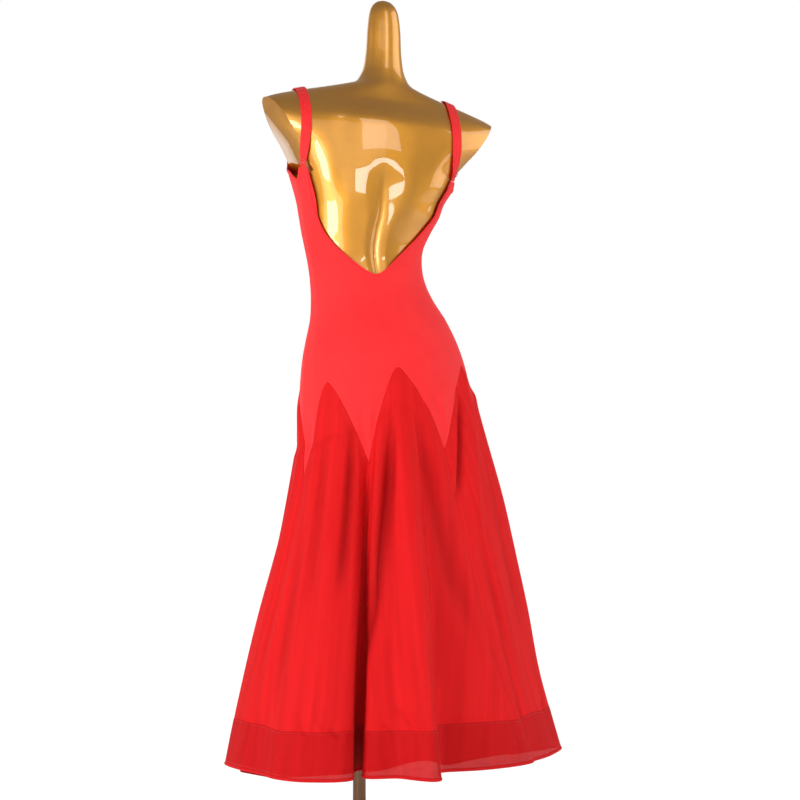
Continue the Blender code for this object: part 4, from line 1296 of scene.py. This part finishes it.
def join_surface(tree, surface, colour, roughness, bump):
    """Joins a surface's colour, its roughness and its bump.

    roughness is a value, its range and what that becomes; bump a height, its depth and strength."""
    height, depth, strength = bump
    raised = node(tree, "ShaderNodeBump", Height=height, Strength=strength, Distance=depth)
    for socket, label in ((colour, "Base Color"), (remapped(tree, *roughness), "Roughness"),
                          (raised.outputs[0], "Normal")):
        tree.links.new(socket, surface.inputs[label])


def cloth_places(tree):
    return node(tree, "ShaderNodeUVMap", {"uv_map": "threads"}).outputs[0]


def solid_places(tree):
    return node(tree, "ShaderNodeTexCoord").outputs["Object"]


def tone_at(tree, groups, size):
    return place_group(tree, groups["tone"], Place=solid_places(tree), Size=size)["Tone"]


def toned_colour(tree, groups, size, first, second):
    """Two colours mixed by slow unevenness over the piece."""
    share = remapped(tree, tone_at(tree, groups, size), *TONE_RANGE)
    return mixed_colour(tree, share, first, second)


def jersey_finish(groups, name, on_grid=True):
    made, tree, surface = new_finish(name, Sheen_Weight=0.22, Sheen_Roughness=0.42,
                                     Sheen_Tint=(1.0, 0.42, 0.42, 1.0), Specular_IOR_Level=0.20)
    places = cloth_places(tree) if on_grid else solid_places(tree)
    knit = place_group(tree, groups["knit"], Place=places, Pitch=0.0007)
    colour = toned_colour(tree, groups, 9.0, (0.88, 0.018, 0.022), (0.95, 0.026, 0.030))
    join_surface(tree, surface, colour, (knit["Column"], 0.0, 1.0, 0.74, 0.56),
                 (knit["Height"], 0.00012, 0.7))
    return made


def chiffon_finish(groups, name, dark, light, cover, pitch):
    """A fine crossed weave that lets some light through.

    cover is how much cloth there is at most; in the troughs of creases the colour is darkened as
    their painted shade."""
    made, tree, surface = new_finish(name, Sheen_Weight=0.05, Sheen_Roughness=0.40,
                                     Sheen_Tint=(1.0, 0.20, 0.20, 1.0), Specular_IOR_Level=0.09)
    places = cloth_places(tree)
    tone = tone_at(tree, groups, 7.0)
    weave = place_group(tree, groups["weave"], Place=places, Pitch=pitch, Slub=0.35)
    drawn = node(tree, "ShaderNodeMapping", Vector=places, Scale=(55.0, 2.4, 1.0)).outputs[0]
    streaks = noise(tree, drawn, 1.0, 3.0)
    shade = maths(tree, "MULTIPLY_ADD", streaks, 0.6, maths(tree, "MULTIPLY", tone, 0.4))
    flat = mixed_colour(tree, remapped(tree, shade, 0.36, 0.64), dark, light)
    # Painted shade: the colour darkens to a deep red in the troughs of the creases.
    crease_shade = node(tree, "ShaderNodeAttribute", {"attribute_name": "crease_shade"}).outputs["Fac"]
    crease_shade_colour = (dark[0] * CREASE_SHADE_RED, 0.001, 0.002)
    colour = mixed_colour(tree, maths(tree, "MULTIPLY", crease_shade, CREASE_SHADE_MOST), flat, crease_shade_colour)
    alpha = remapped(tree, tone, *TONE_RANGE, cover, cover - COVER_LOSS)
    tree.links.new(alpha, surface.inputs["Alpha"])
    join_surface(tree, surface, colour, (weave["Thread"], 0.0, 1.0, 0.80, 0.62),
                 (weave["Height"], 0.00008, 0.6))
    return made


def gold_finish(groups):
    made, tree, surface = new_finish("gold_gloss_paint", Metallic=1.0, Coat_Weight=1.0,
                                     Coat_Roughness=0.03, Coat_IOR=1.65,
                                     Specular_Tint=(1.0, 0.76, 0.40, 1.0))
    skin = place_group(tree, groups["skin"], Place=solid_places(tree), Peel=240.0)
    colour = toned_colour(tree, groups, 5.0, (0.59, 0.248, 0.018), (0.67, 0.302, 0.026))
    join_surface(tree, surface, colour, (skin["Speck"], 0.0, 0.6, 0.41, 0.46),
                 (skin["Height"], 0.0012, 0.25))
    return made


def bronze_finish(groups):
    made, tree, surface = new_finish("bronze_tube", Metallic=1.0, Coat_Weight=0.6,
                                     Coat_Roughness=0.06)
    stretched = node(tree, "ShaderNodeMapping", Vector=solid_places(tree), Scale=(60.0, 60.0, 2.0))
    brushed = noise(tree, stretched.outputs[0], 14.0, 5.0)
    colour = toned_colour(tree, groups, 20.0, (0.15, 0.072, 0.034), (0.26, 0.142, 0.074))
    join_surface(tree, surface, colour, (brushed, 0.3, 0.7, 0.15, 0.27), (brushed, 0.00005, 0.4))
    return made


def enamel_finish(groups):
    made, tree, surface = new_finish("red_enamel_coat", Coat_Weight=0.6, Coat_Roughness=0.12)
    skin = place_group(tree, groups["skin"], Place=solid_places(tree), Peel=900.0)
    colour = mixed_colour(tree, remapped(tree, skin["Speck"], 0.0, 0.6),
                          (0.46, 0.020, 0.022), (0.60, 0.032, 0.034))
    join_surface(tree, surface, colour, (skin["Speck"], 0.0, 0.6, 0.30, 0.42),
                 (skin["Height"], 0.0001, 0.3))
    return made


def thread_finish():
    made, tree, surface = new_finish("sewing_thread", Sheen_Weight=0.4, Specular_IOR_Level=0.35)
    twist = node(tree, "ShaderNodeTexWave", Vector=solid_places(tree), Scale=900.0, Distortion=1.5)
    twist = twist.outputs["Fac"]
    colour = mixed_colour(tree, twist, (0.40, 0.006, 0.009), (0.60, 0.014, 0.018))
    join_surface(tree, surface, colour, (twist, 0.0, 1.0, 0.58, 0.42), (twist, 0.00005, 0.6))
    return made


# ---------------------------------------------------- the studio and the camera

CAMERA_YAW = 14.0
CAMERA_OFFSET = -0.0752
CAMERA_DISTANCE = 4.5
CAMERA_HEIGHT = 0.785
VIEW_WIDTH = 1.48        # metres across the view, at the pole's axis
ROOM_BRIGHTNESS = 0.36
FLOOR_WHITENESS = 0.92
FLOOR_GLOW = 1.10
FLOOR_REACH = 40.0
LIGHT_AIM_ACROSS = -0.05
SENSOR_WIDTH = 36.0


def seen_from_camera(x, y, z):
    """A place given across, towards and above the camera's line, in the row's frame."""
    yaw = radians(CAMERA_YAW)
    return Vector((x * cos(yaw) + y * sin(yaw), -x * sin(yaw) + y * cos(yaw), z))


def add_camera():
    data = bpy.data.cameras.new("camera")
    data.sensor_width = SENSOR_WIDTH
    data.lens = SENSOR_WIDTH * CAMERA_DISTANCE / VIEW_WIDTH
    data.clip_end = 60.0
    camera = placed("camera", data)
    camera.location = seen_from_camera(CAMERA_OFFSET, CAMERA_DISTANCE, CAMERA_HEIGHT)
    camera.rotation_euler = (radians(90.0), 0.0, radians(180.0 - CAMERA_YAW))
    bpy.context.scene.camera = camera


# Each row: name, across the view (its left is positive), towards the camera, height, width,
# tall, brightness of its face, and the height it is aimed at
LIGHTS = (
    ("key_softbox", 2.00, 2.40, 0.72, 2.40, 1.50, 2.0, 1.15),
    ("key_core", 1.80, 2.22, 0.80, 1.15, 0.95, 7.5, 1.15),
    ("window_softbox", -1.27, 2.75, 2.45, 0.95, 2.30, 2.3, 1.10),
    ("low_card", -1.00, 2.90, 0.77, 1.15, 0.19, 7.0, 1.15),
    ("front_fill", 0.30, 6.00, 1.70, 7.00, 4.20, 0.68, 0.80),
    ("strip_left", 2.70, -0.20, 1.00, 0.60, 1.90, 4.0, 0.90),
    ("strip_right", -2.80, -0.10, 1.60, 2.60, 3.00, 1.7, 1.00),
    ("back_fill", 0.60, -3.40, 1.60, 4.20, 2.60, 0.90, 0.80),
)


def add_light(name, across, towards, height, width, tall, brightness, aim_height):
    data = bpy.data.lights.new(name, 'AREA')
    data.shape = 'RECTANGLE'
    data.size, data.size_y = width, tall
    data.energy = brightness * pi * width * tall
    lamp = placed(name, data)
    lamp.location = seen_from_camera(across, towards, height)
    aim = Vector((LIGHT_AIM_ACROSS, 0.0, aim_height)) - lamp.location
    lamp.rotation_euler = aim.to_track_quat('-Z', 'Y').to_euler()
    lamp.visible_camera = False


def glow(tree, kind, strength):
    return node(tree, kind, Color=(1.0, 1.0, 1.0, 1.0), Strength=strength).outputs[0]


def camera_only(tree, share, unseen, seen, output):
    """Shows the camera a share of one shader instead of the other, which lights the rest."""
    seen_by_camera = node(tree, "ShaderNodeLightPath").outputs["Is Camera Ray"]
    share = maths(tree, "MULTIPLY", seen_by_camera, share)
    mixed = node(tree, "ShaderNodeMixShader", i0=share, i1=unseen, i2=seen)
    tree.links.new(mixed.outputs[0], tree.nodes[output].inputs[0])


def add_studio():
    scene = bpy.context.scene
    scene.view_settings.view_transform = 'Standard'
    scene.world = bpy.data.worlds.new("studio")
    scene.world.use_nodes = True
    tree = scene.world.node_tree
    room = tree.nodes["Background"]
    room.inputs["Color"].default_value = (1.0, 0.99, 0.97, 1.0)
    room.inputs["Strength"].default_value = ROOM_BRIGHTNESS
    camera_only(tree, 1.0, room.outputs[0], glow(tree, "ShaderNodeBackground", 1.0), "World Output")
    pale = (0.86, 0.86, 0.86, 1.0)
    finish, tree, surface = new_finish("pale_floor", Base_Color=pale, Roughness=0.8)
    white = glow(tree, "ShaderNodeEmission", FLOOR_GLOW)
    camera_only(tree, FLOOR_WHITENESS, surface.outputs[0], white, "Material Output")
    corners = [(x * FLOOR_REACH, y * FLOOR_REACH, 0.0)
               for x, y in ((-1, -1), (1, -1), (1, 1), (-1, 1))]
    add_mesh("floor", corners, [(0, 1, 2, 3)], finish)
    for row in LIGHTS:
        add_light(*row)


# Each row: name, darkest and lightest colour, how much cloth there is at most, thread pitch
CHIFFONS = (
    ("red_chiffon_weave", (0.73, 0.009, 0.011), (0.89, 0.013, 0.015), 0.83, 0.00045),
    ("red_chiffon_doubled", (0.57, 0.005, 0.007), (0.69, 0.008, 0.010), 0.86, 0.00045),
    ("red_rolled_edge", (0.60, 0.008, 0.011), (0.72, 0.013, 0.016), 1.0, 0.0007),
)

# ------------------------------------------------------------------ assembly


def main():
    groups = {"weave": thread_weave_group(), "knit": knit_stitch_group(), "tone": soft_tone_group(),
              "skin": sprayed_skin_group()}
    jersey = jersey_finish(groups, "red_jersey_knit")
    strap_jersey = jersey_finish(groups, "red_jersey_strap", on_grid=False)
    chiffon, doubled, rolled = (chiffon_finish(groups, *row) for row in CHIFFONS)
    enamel, thread = enamel_finish(groups), thread_finish()
    add_camera()
    add_studio()
    add_form(gold_finish(groups))
    add_stand(bronze_finish(groups))

    for name, top, first_gore in (("bodice_back", back_top, 0), ("bodice_front", front_top, 3)):
        piece = add_bodice(name, top, first_gore, jersey)
        shown_for(piece, name)
    for index, (name, *_) in enumerate(GORES):
        gore, band = "gore_" + name, "hem_band_" + name
        shown_for(add_gore(index, chiffon), gore)
        shown_for(add_hem_band(index, doubled), band)
    shown_for(add_binding(rolled), "hem_binding")

    straps = {}
    for side, name in ((1.0, "left"), (-1.0, "right")):
        frames = straps[name] = strap_frames(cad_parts["form_torso"], side)
        strap = add_strap(frames, name, strap_jersey)
        shown_for(strap, "strap_" + name)
        shown_for(add_slider(frames, name, enamel), "strap_slider_" + name)

    last = 2.0 * HALF_COLUMNS
    for name, top, middle_start, side_end in EDGE_RUNS:
        runs = ((middle_start, last - middle_start), (EDGE_RUN_START, side_end),
                (last - side_end, last - EDGE_RUN_START))
        lines = [edge_line(top, *run) for run in runs]
        add_stitches("edge_stitches_" + name, lines, EDGE_STITCH, thread)
    for name, frames in straps.items():
        lines = [strap_line(frames, share) for share in STRAP_ROWS]
        add_stitches("strap_stitches_" + name, lines, STRAP_STITCH, thread)
    low = HEM_HEIGHT + BINDING_HEIGHT + BINDING_STITCH_RISE
    hem_lines = [hem_line(lambda turn: band_top(turn) - BAND_STITCH_INSET, -HEM_STITCH_SINK),
                 hem_line(lambda turn: np.full_like(turn, low), 0.0)]
    add_stitches("hem_stitches", hem_lines, HEM_STITCH, thread)


main()
